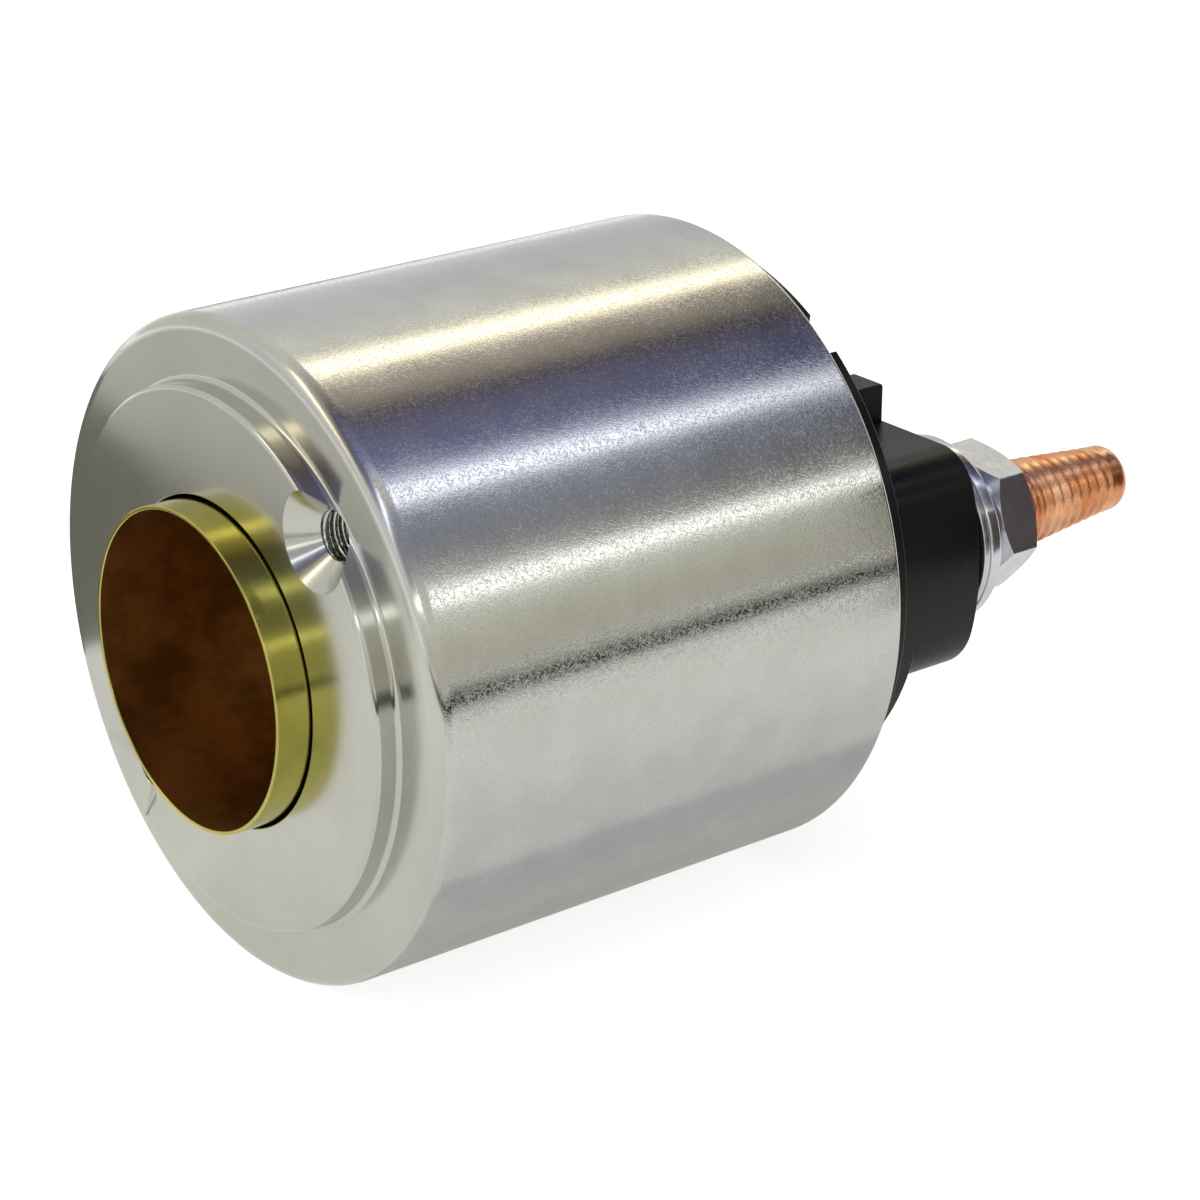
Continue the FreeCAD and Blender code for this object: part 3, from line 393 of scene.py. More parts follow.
def make_can():
    """Turn the can and cut its two countersunk threaded holes."""
    outline = rounded([
        (0, BOSS_BORE, BORE_EDGE),
        (COIL_FRONT, BOSS_BORE, 0),
        (COIL_FRONT, COIL_RADIUS, 0),
        (COIL_BACK, COIL_RADIUS, 0),
        (COIL_BACK, SEAT_RADIUS, 0),
        (LIP_FRONT, SEAT_RADIUS, 0),
        (LIP_FRONT, LIP_RADIUS, 0),
        (CAN_END, LIP_RADIUS, LIP_ROUND),
        (CAN_END, CAN_RADIUS, RIM_ROUND),
        (BOSS_HEIGHT, CAN_RADIUS, CAN_CORNER),
        (BOSS_HEIGHT, BOSS_RADIUS, BOSS_ROOT),
        (0, BOSS_RADIUS, BOSS_EDGE),
    ])
    piece = turn("can", outline, sides=256)
    for turned_by in (0, math.pi):
        centre = (FIXING_CIRCLE * math.cos(FIXING_ANGLE + turned_by),
                  FIXING_CIRCLE * math.sin(FIXING_ANGLE + turned_by))
        start = SINK_RADIUS - FIXING_DRILL
        sink = [(-OVERCUT, 0), (-OVERCUT, SINK_RADIUS + OVERCUT), (start, FIXING_DRILL),
                (FIXING_DEPTH, FIXING_DRILL), (FIXING_DEPTH + FIXING_DRILL / 2, 0)]
        combine(piece, turn("sink", sink, sides=96, centre=centre), "DIFFERENCE")
        crests = [(start, FIXING_DRILL), (start + FIXING_PITCH, FIXING_THREAD),
                  (FIXING_DEPTH - FIXING_PITCH, FIXING_THREAD)]
        tap = threaded("tap", crests, FIXING_PITCH, FIXING_THREAD - FIXING_DRILL + TAP_OVERLAP,
                       (start - FIXING_PITCH, FIXING_DEPTH), sides=64, centre=centre)
        combine(piece, tap, "DIFFERENCE")
    return piece


def dress(piece, node_name, body, slot, *finishes):
    """Let a piece stand for a solid, ride on its body and take its finish."""
    for finish in finishes:
        piece.data.materials.append(finish)
    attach(piece, body)
    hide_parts(node_name)
    normals = piece.modifiers.new("even_normals", "WEIGHTED_NORMAL")
    normals.keep_sharp = True
    return piece


can = make_can()
for face in can.data.polygons:
    on_corner = face.normal.x < TURNED_SLOPE and face.center.x < (BOSS_HEIGHT + CAN_CORNER) * MM
    on_front = face.center.x < (BOSS_HEIGHT + HAIR) * MM
    face.material_index = 1 if on_corner or on_front else 0
dress(can, "housing", "base", "plated_steel", satin_plate, turned_plate)

# The guide tube: thin drawn brass, pushed through the boss and opened out where it slips over the core. Its
# mouth is bright brass. Past the mouth, the inside takes a darker orange-brown copy of the brass that is
# partly tarnish and partly painted shade inside the bore, and its bright orange patches are painted
# reflections.
TUBE_BORE = 13.7
TUBE_WALL = 0.35
TUBE_FRONT, TUBE_BACK = (corner.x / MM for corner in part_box("guide_tube"))
TUBE_STEP = 21.9
TUBE_FLARE = 0.3
TUBE_ROUND = 0.1
LIT_MOUTH = 0.3
BRASS_LIGHT = (0.64, 0.58, 0.16)
BRASS_DARK = (0.45, 0.42, 0.09)
# Inside the tube: dark brown, partly tarnish and partly painted shade, and orange patches as painted
# reflections.
TARNISH_GLINT_LIGHT = (1.0, 0.6, 0.2)
TARNISH_SHADE_DARK = (0.32, 0.17, 0.05)


def make_brass(name, light, dark, rough, streaky):
    """Drawn brass: cloudy, with streaks along the tube where the plunger ran."""
    material, tree, shader = new_finish(name, Metallic=1.0)
    grain = use(tree, GRAIN, Size=0.3, Patch=9.0)
    place = use(tree, ROUND_PLACE)
    marks = use(tree, TOOL_MARKS, Across=place["Turn"], Along=place["Along"], Spacing=0.13, Length=9.0)
    set_colour(tree, shader, blend(tree, marks["Line"], grain["Cloud"], share=streaky), dark, light)
    set_roughness(tree, shader, grain["Speckle"], rough, varies=0.06)
    set_bump(tree, shader, grain["Speckle"], depth=0.0008)
    return material


bright_brass = make_brass("bright_brass", BRASS_LIGHT, BRASS_DARK, rough=0.14, streaky=0.1)
# The inside's copy: darker orange-brown, partly tarnish and partly painted shade, with painted reflections.
shaded_tarnished_brass = make_brass("shaded_tarnished_brass", TARNISH_GLINT_LIGHT, TARNISH_SHADE_DARK, rough=0.3, streaky=0.15)
tube = turn("tube", rounded([
    (TUBE_FRONT, TUBE_BORE, TUBE_ROUND),
    (TUBE_STEP, TUBE_BORE, 0),
    (TUBE_STEP + TUBE_WALL, TUBE_BORE + TUBE_FLARE, 0),
    (TUBE_BACK, TUBE_BORE + TUBE_FLARE, 0),
    (TUBE_BACK, TUBE_BORE + TUBE_FLARE + TUBE_WALL, 0),
    (TUBE_STEP, TUBE_BORE + TUBE_FLARE + TUBE_WALL, 0),
    (TUBE_STEP - TUBE_WALL, TUBE_BORE + TUBE_WALL, 0),
    (TUBE_FRONT, TUBE_BORE + TUBE_WALL, TUBE_ROUND),
]), sides=256)
# Past the bright mouth, the inside takes the copy with painted shade and painted reflections.
for face in tube.data.polygons:
    radius = math.hypot(face.center.y, face.center.z) / MM
    inside = radius < TUBE_BORE + TUBE_FLARE + HAIR
    face.material_index = 1 if inside and face.center.x > (TUBE_FRONT + LIT_MOUTH) * MM else 0
dress(tube, "guide_tube", "base", "tube_brass", bright_brass, shaded_tarnished_brass)

# The fixed core, core plate and rod bush: machined from plain steel, the bush from brass. The core's conical
# seat is the end of the bore that shows through the tube.
CORE_FRONT, CORE_BACK = (corner.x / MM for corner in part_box("fixed_core"))
CORE_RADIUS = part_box("fixed_core")[1].z / MM
PLATE_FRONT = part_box("core_plate")[0].x / MM
CORE_EDGE = 0.15
CORE_ROUND = 0.3
DISH_DEPTH = 2.5
DISH_MOUTH = 11.0
DISH_FLOOR = 7.5
SPIGOT_RADIUS = 8.95
BUSH_HOLE = 3.7
CORE_LIGHT = (0.42, 0.38, 0.33)
CORE_DARK = (0.28, 0.25, 0.22)


def make_machined(name, light, dark, rough):
    """Plain machined steel with fine turning marks and a little oil."""
    material, tree, shader = new_finish(name, Metallic=1.0)
    grain = use(tree, GRAIN, Size=0.3, Patch=9.0)
    place = use(tree, ROUND_PLACE)
    marks = use(tree, TOOL_MARKS, Across=place["Radius"], Along=place["Turn"], Spacing=0.15, Length=1.5)
    set_colour(tree, shader, grain["Cloud"], dark, light)
    set_roughness(tree, shader, grain["Speckle"], rough, varies=0.15)
    set_bump(tree, shader, reckon(tree, "ADD", marks["Line"], grain["Speckle"]), depth=0.003)
    return material


machined_steel = make_machined("machined_steel", CORE_LIGHT, CORE_DARK, rough=0.3)
core = turn("core", rounded([
    (CORE_FRONT + DISH_DEPTH, BUSH_HOLE, CORE_EDGE),
    (CORE_FRONT + DISH_DEPTH, DISH_FLOOR, CORE_ROUND),
    (CORE_FRONT, DISH_MOUTH, CORE_EDGE),
    (CORE_FRONT, CORE_RADIUS, CORE_ROUND),
    (PLATE_FRONT, CORE_RADIUS, 0),
    (PLATE_FRONT, SPIGOT_RADIUS, 0),
    (CORE_BACK, SPIGOT_RADIUS, 0),
    (CORE_BACK, BUSH_HOLE, 0),
]), sides=128)
dress(core, "fixed_core", "base", "core_steel", machined_steel)


def finish_node(node_name, finish):
    """Give a solid that shows as it is its finish."""
    node = nodes[node_name]
    node.data.materials.clear()
    node.data.materials.append(finish)


finish_node("core_plate", machined_steel)
finish_node("rod_bush", bright_brass)

# The coil: a moulded spool with a thick pull-in winding, a thin hold-in winding over it, varnished paper
# between and round them, and the two wire ends in paper sleeves.
THICK_WIRE = 1.1
THIN_WIRE = 0.6
# The wire's colours: lit on the crests of the turns, and darker in the grooves between them as painted shade.
WIRE_CREST_LIT = (0.62, 0.27, 0.09)
WIRE_GROOVE_SHADE = (0.3, 0.1, 0.03)
PAPER_LIGHT = (0.66, 0.52, 0.34)
PAPER_DARK = (0.42, 0.3, 0.17)
SPOOL_LIGHT = (0.78, 0.75, 0.65)
SPOOL_DARK = (0.68, 0.65, 0.54)


def make_plastic(name, light, dark, rough, grain_depth, mirror=0.5):
    """Moulded plastic with a fine eroded grain and slight flow patches."""
    material, tree, shader = new_finish(name, Metallic=0.0, Specular_IOR_Level=mirror)
    grain = use(tree, GRAIN, Size=0.12, Patch=10.0)
    set_colour(tree, shader, grain["Cloud"], dark, light)
    patchy = reckon(tree, "MULTIPLY_ADD", grain["Cloud"], 0.1, rough)
    set_roughness(tree, shader, grain["Speckle"], patchy, varies=0.08)
    set_bump(tree, shader, grain["Speckle"], depth=grain_depth)
    return material


def make_wound(name, wire):
    """Enamelled copper wire laid turn by turn: uneven ridges along the axis, with painted shade between
    turns.
    """
    material, tree, shader = new_finish(name, Metallic=0.6, Coat_Weight=0.5, Coat_Roughness=0.15)
    place = use(tree, ROUND_PLACE)
    grain = use(tree, GRAIN, Size=0.5, Patch=6.0)
    wander = reckon(tree, "MULTIPLY", grain["Cloud"], wire * 0.5)
    turns = reckon(tree, "DIVIDE", reckon(tree, "ADD", place["Along"], wander), wire)
    ridge = reckon(tree, "ABSOLUTE", reckon(tree, "SINE", reckon(tree, "MULTIPLY", turns, math.pi)))
    # Painted shade and highlight: the colour darkens into the grooves between turns and lightens on the
    # crests.
    set_colour(tree, shader, ridge, WIRE_GROOVE_SHADE, WIRE_CREST_LIT)
    set_roughness(tree, shader, grain["Speckle"], 0.25, varies=0.15)
    set_bump(tree, shader, reckon(tree, "POWER", ridge, 0.5), depth=wire / 2)
    return material


def make_paper():
    """Varnished insulating paper: brown, fibrous, slightly glossy."""
    material, tree, shader = new_finish("varnished_paper", Metallic=0.0, Coat_Weight=0.3, Coat_Roughness=0.35)
    grain = use(tree, GRAIN, Size=0.4, Patch=5.0)
    place = use(tree, ROUND_PLACE)
    fibres = use(tree, TOOL_MARKS, Across=place["Along"], Along=place["Turn"], Spacing=0.2, Length=0.2)
    shades = blend(tree, fibres["Line"], grain["Cloud"], share=0.5)
    set_colour(tree, shader, shades, PAPER_DARK, PAPER_LIGHT)
    set_roughness(tree, shader, grain["Speckle"], 0.55, varies=0.2)
    set_bump(tree, shader, fibres["Line"], depth=0.02)
    return material


pale_plastic = make_plastic("pale_plastic", SPOOL_LIGHT, SPOOL_DARK, rough=0.4, grain_depth=0.004)
thick_wire = make_wound("thick_wire", THICK_WIRE)
thin_wire = make_wound("thin_wire", THIN_WIRE)
paper = make_paper()
finish_node("bobbin", pale_plastic)
finish_node("pull_in_winding", thick_wire)
finish_node("hold_in_winding", thin_wire)
for end in ("start", "motor"):
    finish_node(end + "_lead", thin_wire)
    finish_node(end + "_sleeve", paper)
for layer in ("layer_insulation", "winding_wrap"):
    finish_node(layer, paper)

# The contact rod: a ground steel rod that the plunger pushes, with its stop ring, insulating pieces, copper
# bridge and clip stacked on it.
ROD_FRONT, ROD_BACK = (corner.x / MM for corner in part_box("contact_rod"))
ROD_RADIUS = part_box("contact_rod")[1].z / MM
ROD_CHAMFER = 0.5
ROD_LIGHT = (0.56, 0.55, 0.53)
ROD_DARK = (0.44, 0.43, 0.41)
SPRING_LIGHT = (0.46, 0.46, 0.48)
SPRING_DARK = (0.34, 0.34, 0.36)
ground_steel = make_machined("ground_steel", ROD_LIGHT, ROD_DARK, rough=0.2)
spring_wire = make_machined("spring_wire", SPRING_LIGHT, SPRING_DARK, rough=0.28)
rod = turn("rod", [
    (ROD_FRONT, 0),
    (ROD_FRONT, ROD_RADIUS - ROD_CHAMFER),
    (ROD_FRONT + ROD_CHAMFER, ROD_RADIUS),
    (ROD_BACK - ROD_CHAMFER, ROD_RADIUS),
    (ROD_BACK, ROD_RADIUS - ROD_CHAMFER),
    (ROD_BACK, 0),
], sides=64)
dress(rod, "contact_rod", "rod", "core_steel", ground_steel)


def make_copper(name, light, dark, rough, centre):
    """Bare copper with dull, darker patches and marks round its axis."""
    material, tree, shader = new_finish(name, Metallic=1.0)
    grain = use(tree, GRAIN, Size=0.25, Patch=3.0)
    place = use(tree, ROUND_PLACE, Across=centre[0], Up=centre[1])
    marks = use(tree, TOOL_MARKS, Across=place["Along"], Along=place["Turn"], Spacing=0.1, Length=0.8)
    set_colour(tree, shader, grain["Cloud"], dark, light)
    set_roughness(tree, shader, grain["Speckle"], rough, varies=0.1)
    set_bump(tree, shader, reckon(tree, "ADD", marks["Line"], grain["Speckle"]), depth=0.002)
    return material


COPPER_LIGHT = (0.96, 0.55, 0.33)
COPPER_DARK = (0.72, 0.27, 0.11)
flat_copper = make_copper("flat_copper", COPPER_LIGHT, COPPER_DARK, rough=0.3, centre=(0.0, 0.0))
finish_node("stop_ring", ground_steel)
finish_node("contact_bar", flat_copper)
for part in ("insulating_bush", "insulating_washer"):
    finish_node(part, pale_plastic)
finish_node("rod_clip", spring_wire)

# The two springs, coiled from drawn wire: one presses the copper bridge against its clip, the other pushes
# the rod back. As the rod moves in, each is squashed towards its held end and keeps a share of its length,
# but here each is wound between the two ends of its solid. A row holds the solid, name, body, coil and wire
# diameters, held end and share.
SPRING_TURNS = 2.5
SPRINGS = [
    ("contact_spring", "bar_spring", "rod", 7.4, 0.8, "front", 0.72),
    ("return_spring", "cap_spring", "base", 11.8, 0.6, "back", 0.39),
]
ALONG = Vector((1, 0, 0))


def cover_ends(build, rings):
    """Close the first and the last ring with a face each."""
    for ring in (rings[0], rings[-1]):
        build.faces.new(ring)


def make_spring(name, front, back, coil, wire, turns, steps_per_turn=40, wire_sides=12):
    """Wind round wire about the can's axis between two seats."""
    build = bmesh.new()
    rings = []
    steps = int(turns * steps_per_turn)
    for step in range(steps + 1):
        angle = math.tau * turns * step / steps
        outward = Vector((0, math.cos(angle), math.sin(angle)))
        middle = outward * coil / 2
        middle.x = front + wire / 2 + (back - front - wire) * step / steps
        spins = [math.tau * number / wire_sides for number in range(wire_sides)]
        rings.append([build.verts.new(middle + wire / 2 * (outward * math.cos(spin) + ALONG * math.sin(spin)))
                      for spin in spins])
    skin(build, rings, closed=False)
    cover_ends(build, rings)
    return make_object(name, build)


for node_name, name, body, coil, wire, held_end, keep in SPRINGS:
    front, back = (corner.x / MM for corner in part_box(node_name))
    spring = make_spring(name, front, back, coil, wire, SPRING_TURNS)
    dress(spring, node_name, body, "spring_steel", spring_wire)
    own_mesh(spring)

# The terminal cap: black moulded plastic with a glossy skin, held by the can's rolled rim on a flat rubber
# ring. Its body is cut flat above and below, and two lugs on top guard the start blade.
CAP_FRONT, CAP_BACK = (corner.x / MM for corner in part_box("terminal_cap"))
FLANGE_RADIUS = 27.8
FLANGE_BACK = LIP_FRONT
DISC_RADIUS = 26.9
DISC_BACK = 53.0
CAP_RADIUS = 24.6
CAP_TOP = 10.7
CAP_BOTTOM = 10.3
CAP_CORNERS = (4.4, 6.0)
CAP_EDGE = 0.25
LEDGE_BACK = 57.0
NOTCH_CIRCLE = 27.3
NOTCH_ANGLE = math.radians(124.5)
NOTCH_RADIUS = 2.2
ROOM_BACK = 51.0
ROOM_RADIUS = 24.3
CAVITY_BACK = 61.0
CAVITY_RADIUS = 22.3
CAVITY_HALF_HEIGHT = 8.0
POCKET_RADIUS = 4.7
POCKET_DEPTH = 1.6
GUARD_SIDE = 9.25
GUARD_THICKNESS = 4.0
GUARD_TOP = CAP_TOP + 3.4
GUARD_FOOT = 2.0
GUARD_INSET = 1.2
GUARD_ROUND = 0.3
SLOT_HALF_WIDTH = 3.25
SLOT_PLAY = 0.1
STUD_SIDE = 16.5
STUD_LIFT = 1.5
STUD_HOLE = 4.15
BLACK_LIGHT = (0.004, 0.0042, 0.0044)
BLACK_DARK = (0.002, 0.0021, 0.0022)


def arc(centre, radius, start, end, steps):
    """Points of an arc between two angles, both ends among them."""
    angles = [start + (end - start) * count / steps for count in range(steps + 1)]
    return [Vector(centre) + radius * Vector((math.cos(angle), math.sin(angle))) for angle in angles]


def flatted_disc(radius, top, bottom, upper=0.0, lower=0.0):
    """Outline of a disc cut off flat above and below, with its upper and lower corners rounded."""
    high = math.asin((top - upper) / (radius - upper))
    low = math.asin((bottom - lower) / (radius - lower))
    side = arc((0, 0), radius, -low, high, steps=40)
    if upper:
        centre = ((radius - upper) * math.cos(high), top - upper)
        side += arc(centre, upper, high, math.pi / 2, steps=10)[1:]
    if lower:
        centre = ((radius - lower) * math.cos(low), lower - bottom)
        side = arc(centre, lower, -math.pi / 2, -low, steps=10)[:-1] + side
    return side + [Vector((-point.x, point.y)) for point in reversed(side)]


def prism(name, outline, front, back, edge=0.0, steps=5):
    """Stand an outline of (across, up) along X, with its rear edge rounded."""
    build = bmesh.new()
    normals = []
    for number, point in enumerate(outline):
        along = (outline[(number + 1) % len(outline)] - outline[number - 1]).normalized()
        normals.append(Vector((along.y, -along.x)))
    levels = [(front, 0.0)]
    for count in range(steps + 1 if edge else 1):
        angle = math.pi / 2 * count / steps if edge else 0.0
        levels.append((back - edge + edge * math.sin(angle), edge * (1 - math.cos(angle))))
    rings = []
    for along, inset in levels:
        spots = [point - normal * inset for point, normal in zip(outline, normals)]
        rings.append([build.verts.new((along, spot.x, spot.y)) for spot in spots])
    skin(build, rings, closed=False)
    cover_ends(build, rings)
    return make_object(name, build)


def box_outline(low, high, rounding=0.0):
    """Outline of a rectangle between two corners."""
    corners = [(low[0], low[1]), (high[0], low[1]), (high[0], high[1]), (low[0], high[1])]
    return rounded([(*corner, rounding) for corner in corners])


def drill(piece, name, front, back, radius, sides=64, centre=(0, 0)):
    """Drill a round hole along X into a piece."""
    hole = [(front, 0), (front, radius), (back, radius), (back, 0)]
    combine(piece, turn(name, hole, sides, centre), "DIFFERENCE")


def make_cap():
    """Join the cap's body, disc, flange and lugs, and cut its rooms and holes."""
    disc = rounded([
        (CAP_FRONT, 0, 0),
        (DISC_BACK, 0, 0),
        (DISC_BACK, DISC_RADIUS, CAP_EDGE),
        (FLANGE_BACK, DISC_RADIUS, 0),
        (FLANGE_BACK, FLANGE_RADIUS, 0),
        (CAP_FRONT, FLANGE_RADIUS, 0),
    ])
    piece = turn("cap", disc, sides=192)
    outer = flatted_disc(CAP_RADIUS, CAP_TOP, CAP_BOTTOM, *CAP_CORNERS)
    combine(piece, prism("cap_body", outer, DISC_BACK - OVERCUT, CAP_BACK, CAP_EDGE), "UNION")
    reach = math.asin((CAP_BOTTOM - CAP_CORNERS[1]) / (CAP_RADIUS - CAP_CORNERS[1]))
    ledge = arc((0, 0), CAP_RADIUS, math.pi + reach, math.tau - reach, steps=60)
    combine(piece, prism("ledge", ledge, DISC_BACK - OVERCUT, LEDGE_BACK, CAP_EDGE), "UNION")
    centre = (NOTCH_CIRCLE * math.cos(NOTCH_ANGLE), NOTCH_CIRCLE * math.sin(NOTCH_ANGLE))
    drill(piece, "notch", ROOM_BACK, DISC_BACK + OVERCUT, NOTCH_RADIUS, centre=centre)
    for side in (-1, 1):
        across = [side * GUARD_SIDE - GUARD_THICKNESS / 2, side * GUARD_SIDE + GUARD_THICKNESS / 2]
        lug = box_outline((across[0], CAP_TOP - GUARD_FOOT), (across[1], GUARD_TOP), GUARD_ROUND)
        combine(piece, prism("lug", lug, DISC_BACK - GUARD_INSET, CAP_BACK, CAP_EDGE), "UNION")
    drill(piece, "room", CAP_FRONT - OVERCUT, ROOM_BACK, ROOM_RADIUS, sides=128)
    inner = flatted_disc(CAVITY_RADIUS, CAVITY_HALF_HEIGHT, CAVITY_HALF_HEIGHT)
    combine(piece, prism("cavity", inner, ROOM_BACK - OVERCUT, CAVITY_BACK), "DIFFERENCE")
    drill(piece, "pocket", CAVITY_BACK - OVERCUT, CAVITY_BACK + POCKET_DEPTH, POCKET_RADIUS)
    for side in (-STUD_SIDE, STUD_SIDE):
        drill(piece, "hole", CAVITY_BACK - OVERCUT, CAP_BACK + OVERCUT, STUD_HOLE, centre=(side, STUD_LIFT))
    low, high = (corner.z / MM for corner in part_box("start_blade"))
    slot = box_outline((-SLOT_HALF_WIDTH, low - SLOT_PLAY), (SLOT_HALF_WIDTH, high + SLOT_PLAY))
    combine(piece, prism("slot", slot, ROOM_BACK - OVERCUT, DISC_BACK + OVERCUT), "DIFFERENCE")
    return piece


black_plastic = make_plastic("black_plastic", BLACK_LIGHT, BLACK_DARK, rough=0.22, grain_depth=0.002,
                             mirror=0.26)
dress(make_cap(), "terminal_cap", "base", "black_plastic", black_plastic)

# The seals: flat rings cut from black rubber, dull with a dusty bloom. One lies between the core plate and
# the cap, and one under the washer of each stud.
RUBBER_LIGHT = (0.05, 0.05, 0.048)
RUBBER_DARK = (0.02, 0.02, 0.02)


def make_rubber():
    """Dull black rubber with a dusty bloom."""
    material, tree, shader = new_finish("rubber", Metallic=0.0)
    grain = use(tree, GRAIN, Size=0.3, Patch=4.0)
    set_colour(tree, shader, grain["Cloud"], RUBBER_DARK, RUBBER_LIGHT)
    set_roughness(tree, shader, grain["Speckle"], 0.7, varies=0.15)
    set_bump(tree, shader, grain["Speckle"], depth=0.01)
    return material


rubber = make_rubber()
for part in ("cap_seal", "battery_seal", "motor_seal"):
    finish_node(part, rubber)

# The start blade: a flat blade stamped from plated strip, with a latch hole and pointed corners for a push-on
# receptacle. It stands out of a slot in the cap's disc.
BLADE_HALF_WIDTH = 3.15
BLADE_POINT = 0.7
BLADE_HOLE = 1.0
BLADE_EDGE = 0.12
SHOULDER_FRONT = 49.75
SHOULDER_BACK = 50.95
SHOULDER_HALF_WIDTH = 4.2
blade_low, blade_high = (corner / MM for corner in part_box("start_blade"))


def soften(piece, width, limit=30):
    """Bevel the edges of a piece that turn by more than a limit in degrees."""
    bevel = piece.modifiers.new("soft_edges", "BEVEL")
    bevel.width = width * MM
    bevel.segments = 2
    bevel.limit_method = "ANGLE"
    bevel.angle_limit = math.radians(limit)


def make_blade(hole_sides=32):
    """Stamp the blade from strip and punch its hole."""
    build = bmesh.new()
    side = [
        (blade_low.x, BLADE_HALF_WIDTH),
        (SHOULDER_FRONT, BLADE_HALF_WIDTH),
        (SHOULDER_FRONT, SHOULDER_HALF_WIDTH),
        (SHOULDER_BACK, SHOULDER_HALF_WIDTH),
        (SHOULDER_BACK, BLADE_HALF_WIDTH),
        (blade_high.x - BLADE_POINT, BLADE_HALF_WIDTH),
        (blade_high.x, BLADE_HALF_WIDTH - BLADE_POINT),
    ]
    outline = side + [(along, -across) for along, across in reversed(side)]
    rings = [[build.verts.new((along, across, up)) for along, across in outline]
             for up in (blade_low.z, blade_high.z)]
    skin(build, rings, closed=False)
    cover_ends(build, rings)
    piece = make_object("blade", build)
    build = bmesh.new()
    middle = (DISC_BACK + blade_high.x) / 2
    angles = [math.tau * number / hole_sides for number in range(hole_sides)]
    rings = [[build.verts.new((middle + BLADE_HOLE * math.cos(angle), BLADE_HOLE * math.sin(angle), up))
              for angle in angles] for up in (blade_low.z - OVERCUT, blade_high.z + OVERCUT)]
    skin(build, rings, closed=False)
    cover_ends(build, rings)
    combine(piece, make_object("punch", build), "DIFFERENCE")
    soften(piece, BLADE_EDGE)
    return piece


dress(make_blade(), "start_blade", "base", "plated_steel", satin_plate)

# The two terminal bolts: forged copper with a flat contact head inside the cap and a rolled M8 thread with
# soft crests. The battery stud is the long one, and tapers to a plain tip. A row holds the solid, the side,
# the end of the taper and the radius of the tip.
THREAD_PITCH = 1.25
THREAD_DEPTH = 0.5
STUD_RADIUS = 4.0
HEAD_FRONT = 57.5
HEAD_REACH = 6.5
HEAD_HALF_WIDTH = 5.5
HEAD_RADIUS = 22.0
HEAD_EDGE = 0.3
HEAD_PLAY = 0.05
NUT_END = 72.6
EVEN_END = 76.8
TIP_ROUND = 1.1
THREAD_STOP = 0.4
STUD_ROUGH = 0.22
BOLTS = [
    ("battery_bolt", -1, 86.0, 3.1),
    ("motor_bolt", 1, 78.4, 3.8),
]


def make_bolt(name, side, taper_end, tip_radius):
    """Join a bolt's contact head to its tapering threaded stud."""
    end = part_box(name)[1].x / MM
    low, high = STUD_LIFT - HEAD_HALF_WIDTH, STUD_LIFT + HEAD_HALF_WIDTH
    outline = arc((0, 0), HEAD_RADIUS, math.asin(low / HEAD_RADIUS), math.asin(high / HEAD_RADIUS), steps=12)
    inner = STUD_SIDE - HEAD_REACH
    outline += [Vector((inner, high)), Vector((inner, low))]
    if side < 0:
        outline = [Vector((-point.x, point.y)) for point in reversed(outline)]
    head = prism(name.split("_")[0] + "_stud", outline, HEAD_FRONT, CAVITY_BACK - HEAD_PLAY, HEAD_EDGE)
    crests = [(CAVITY_BACK - OVERCUT, STUD_RADIUS), (EVEN_END, STUD_RADIUS), (taper_end, tip_radius)]
    tip = arc((end - TIP_ROUND, tip_radius - TIP_ROUND), TIP_ROUND, math.pi / 2, 0, steps=6)
    crests += [tuple(point) for point in tip]
    thread = (CAP_BACK, taper_end - THREAD_STOP)
    stud = threaded("thread", crests, THREAD_PITCH, THREAD_DEPTH, thread, sides=96,
                    centre=(side * STUD_SIDE, STUD_LIFT))
    combine(head, stud, "UNION")
    shade(head.data, sharp=50)
    return head


for name, side, taper_end, tip_radius in BOLTS:
    centre = (side * STUD_SIDE, STUD_LIFT)
    finish = make_copper(name + "_copper", COPPER_LIGHT, COPPER_DARK, STUD_ROUGH, centre)
    dress(make_bolt(name, side, taper_end, tip_radius), name, "base", "copper", finish)

# The washers and flange nuts: the washers are punched and plated, the nuts cold forged, bright zinc plated
# and done up tight on the studs.
WASHER_RADIUS = 8.55
WASHER_BORE = 4.2
WASHER_BACK = 64.6
WASHER_ROUND = 0.25
WASHER_EDGE = 0.1
NUT_HALF_FLATS = 6.0
NUT_RIM = 1.1
NUT_CONE = 2.8
NUT_FLANGE = 8.6
NUT_ANGLE = math.radians(11.3)
NUT_BORE = 4.05
NUT_LEAD = 0.5
NUT_EDGE = 0.12
NUT_CHAMFER = 0.7
NUT_OVERLAP = 0.5
NUT_TRIM = 0.1
HEXAGON_ROUND = 0.15
RIM_FRONT_ROUND = 0.15
RIM_BACK_ROUND = 0.35
ZINC_LIGHT = (0.74, 0.74, 0.79)
ZINC_DARK = (0.64, 0.64, 0.69)
WASHER_LIGHT = (0.7, 0.71, 0.74)
WASHER_DARK = (0.58, 0.59, 0.62)


def make_zinc(name, light, dark, rough):
    """Bright zinc plating with small plating marks."""
    material, tree, shader = new_finish(name, Metallic=1.0)
    grain = use(tree, GRAIN, Size=0.5, Patch=4.0)
    set_colour(tree, shader, grain["Cloud"], dark, light)
    set_roughness(tree, shader, grain["Speckle"], rough, varies=0.1)
    set_bump(tree, shader, grain["Speckle"], depth=0.002)
    return material


bright_zinc = make_zinc("bright_zinc", ZINC_LIGHT, ZINC_DARK, rough=0.12)
washer_plate = make_zinc("washer_plate", WASHER_LIGHT, WASHER_DARK, rough=0.18)


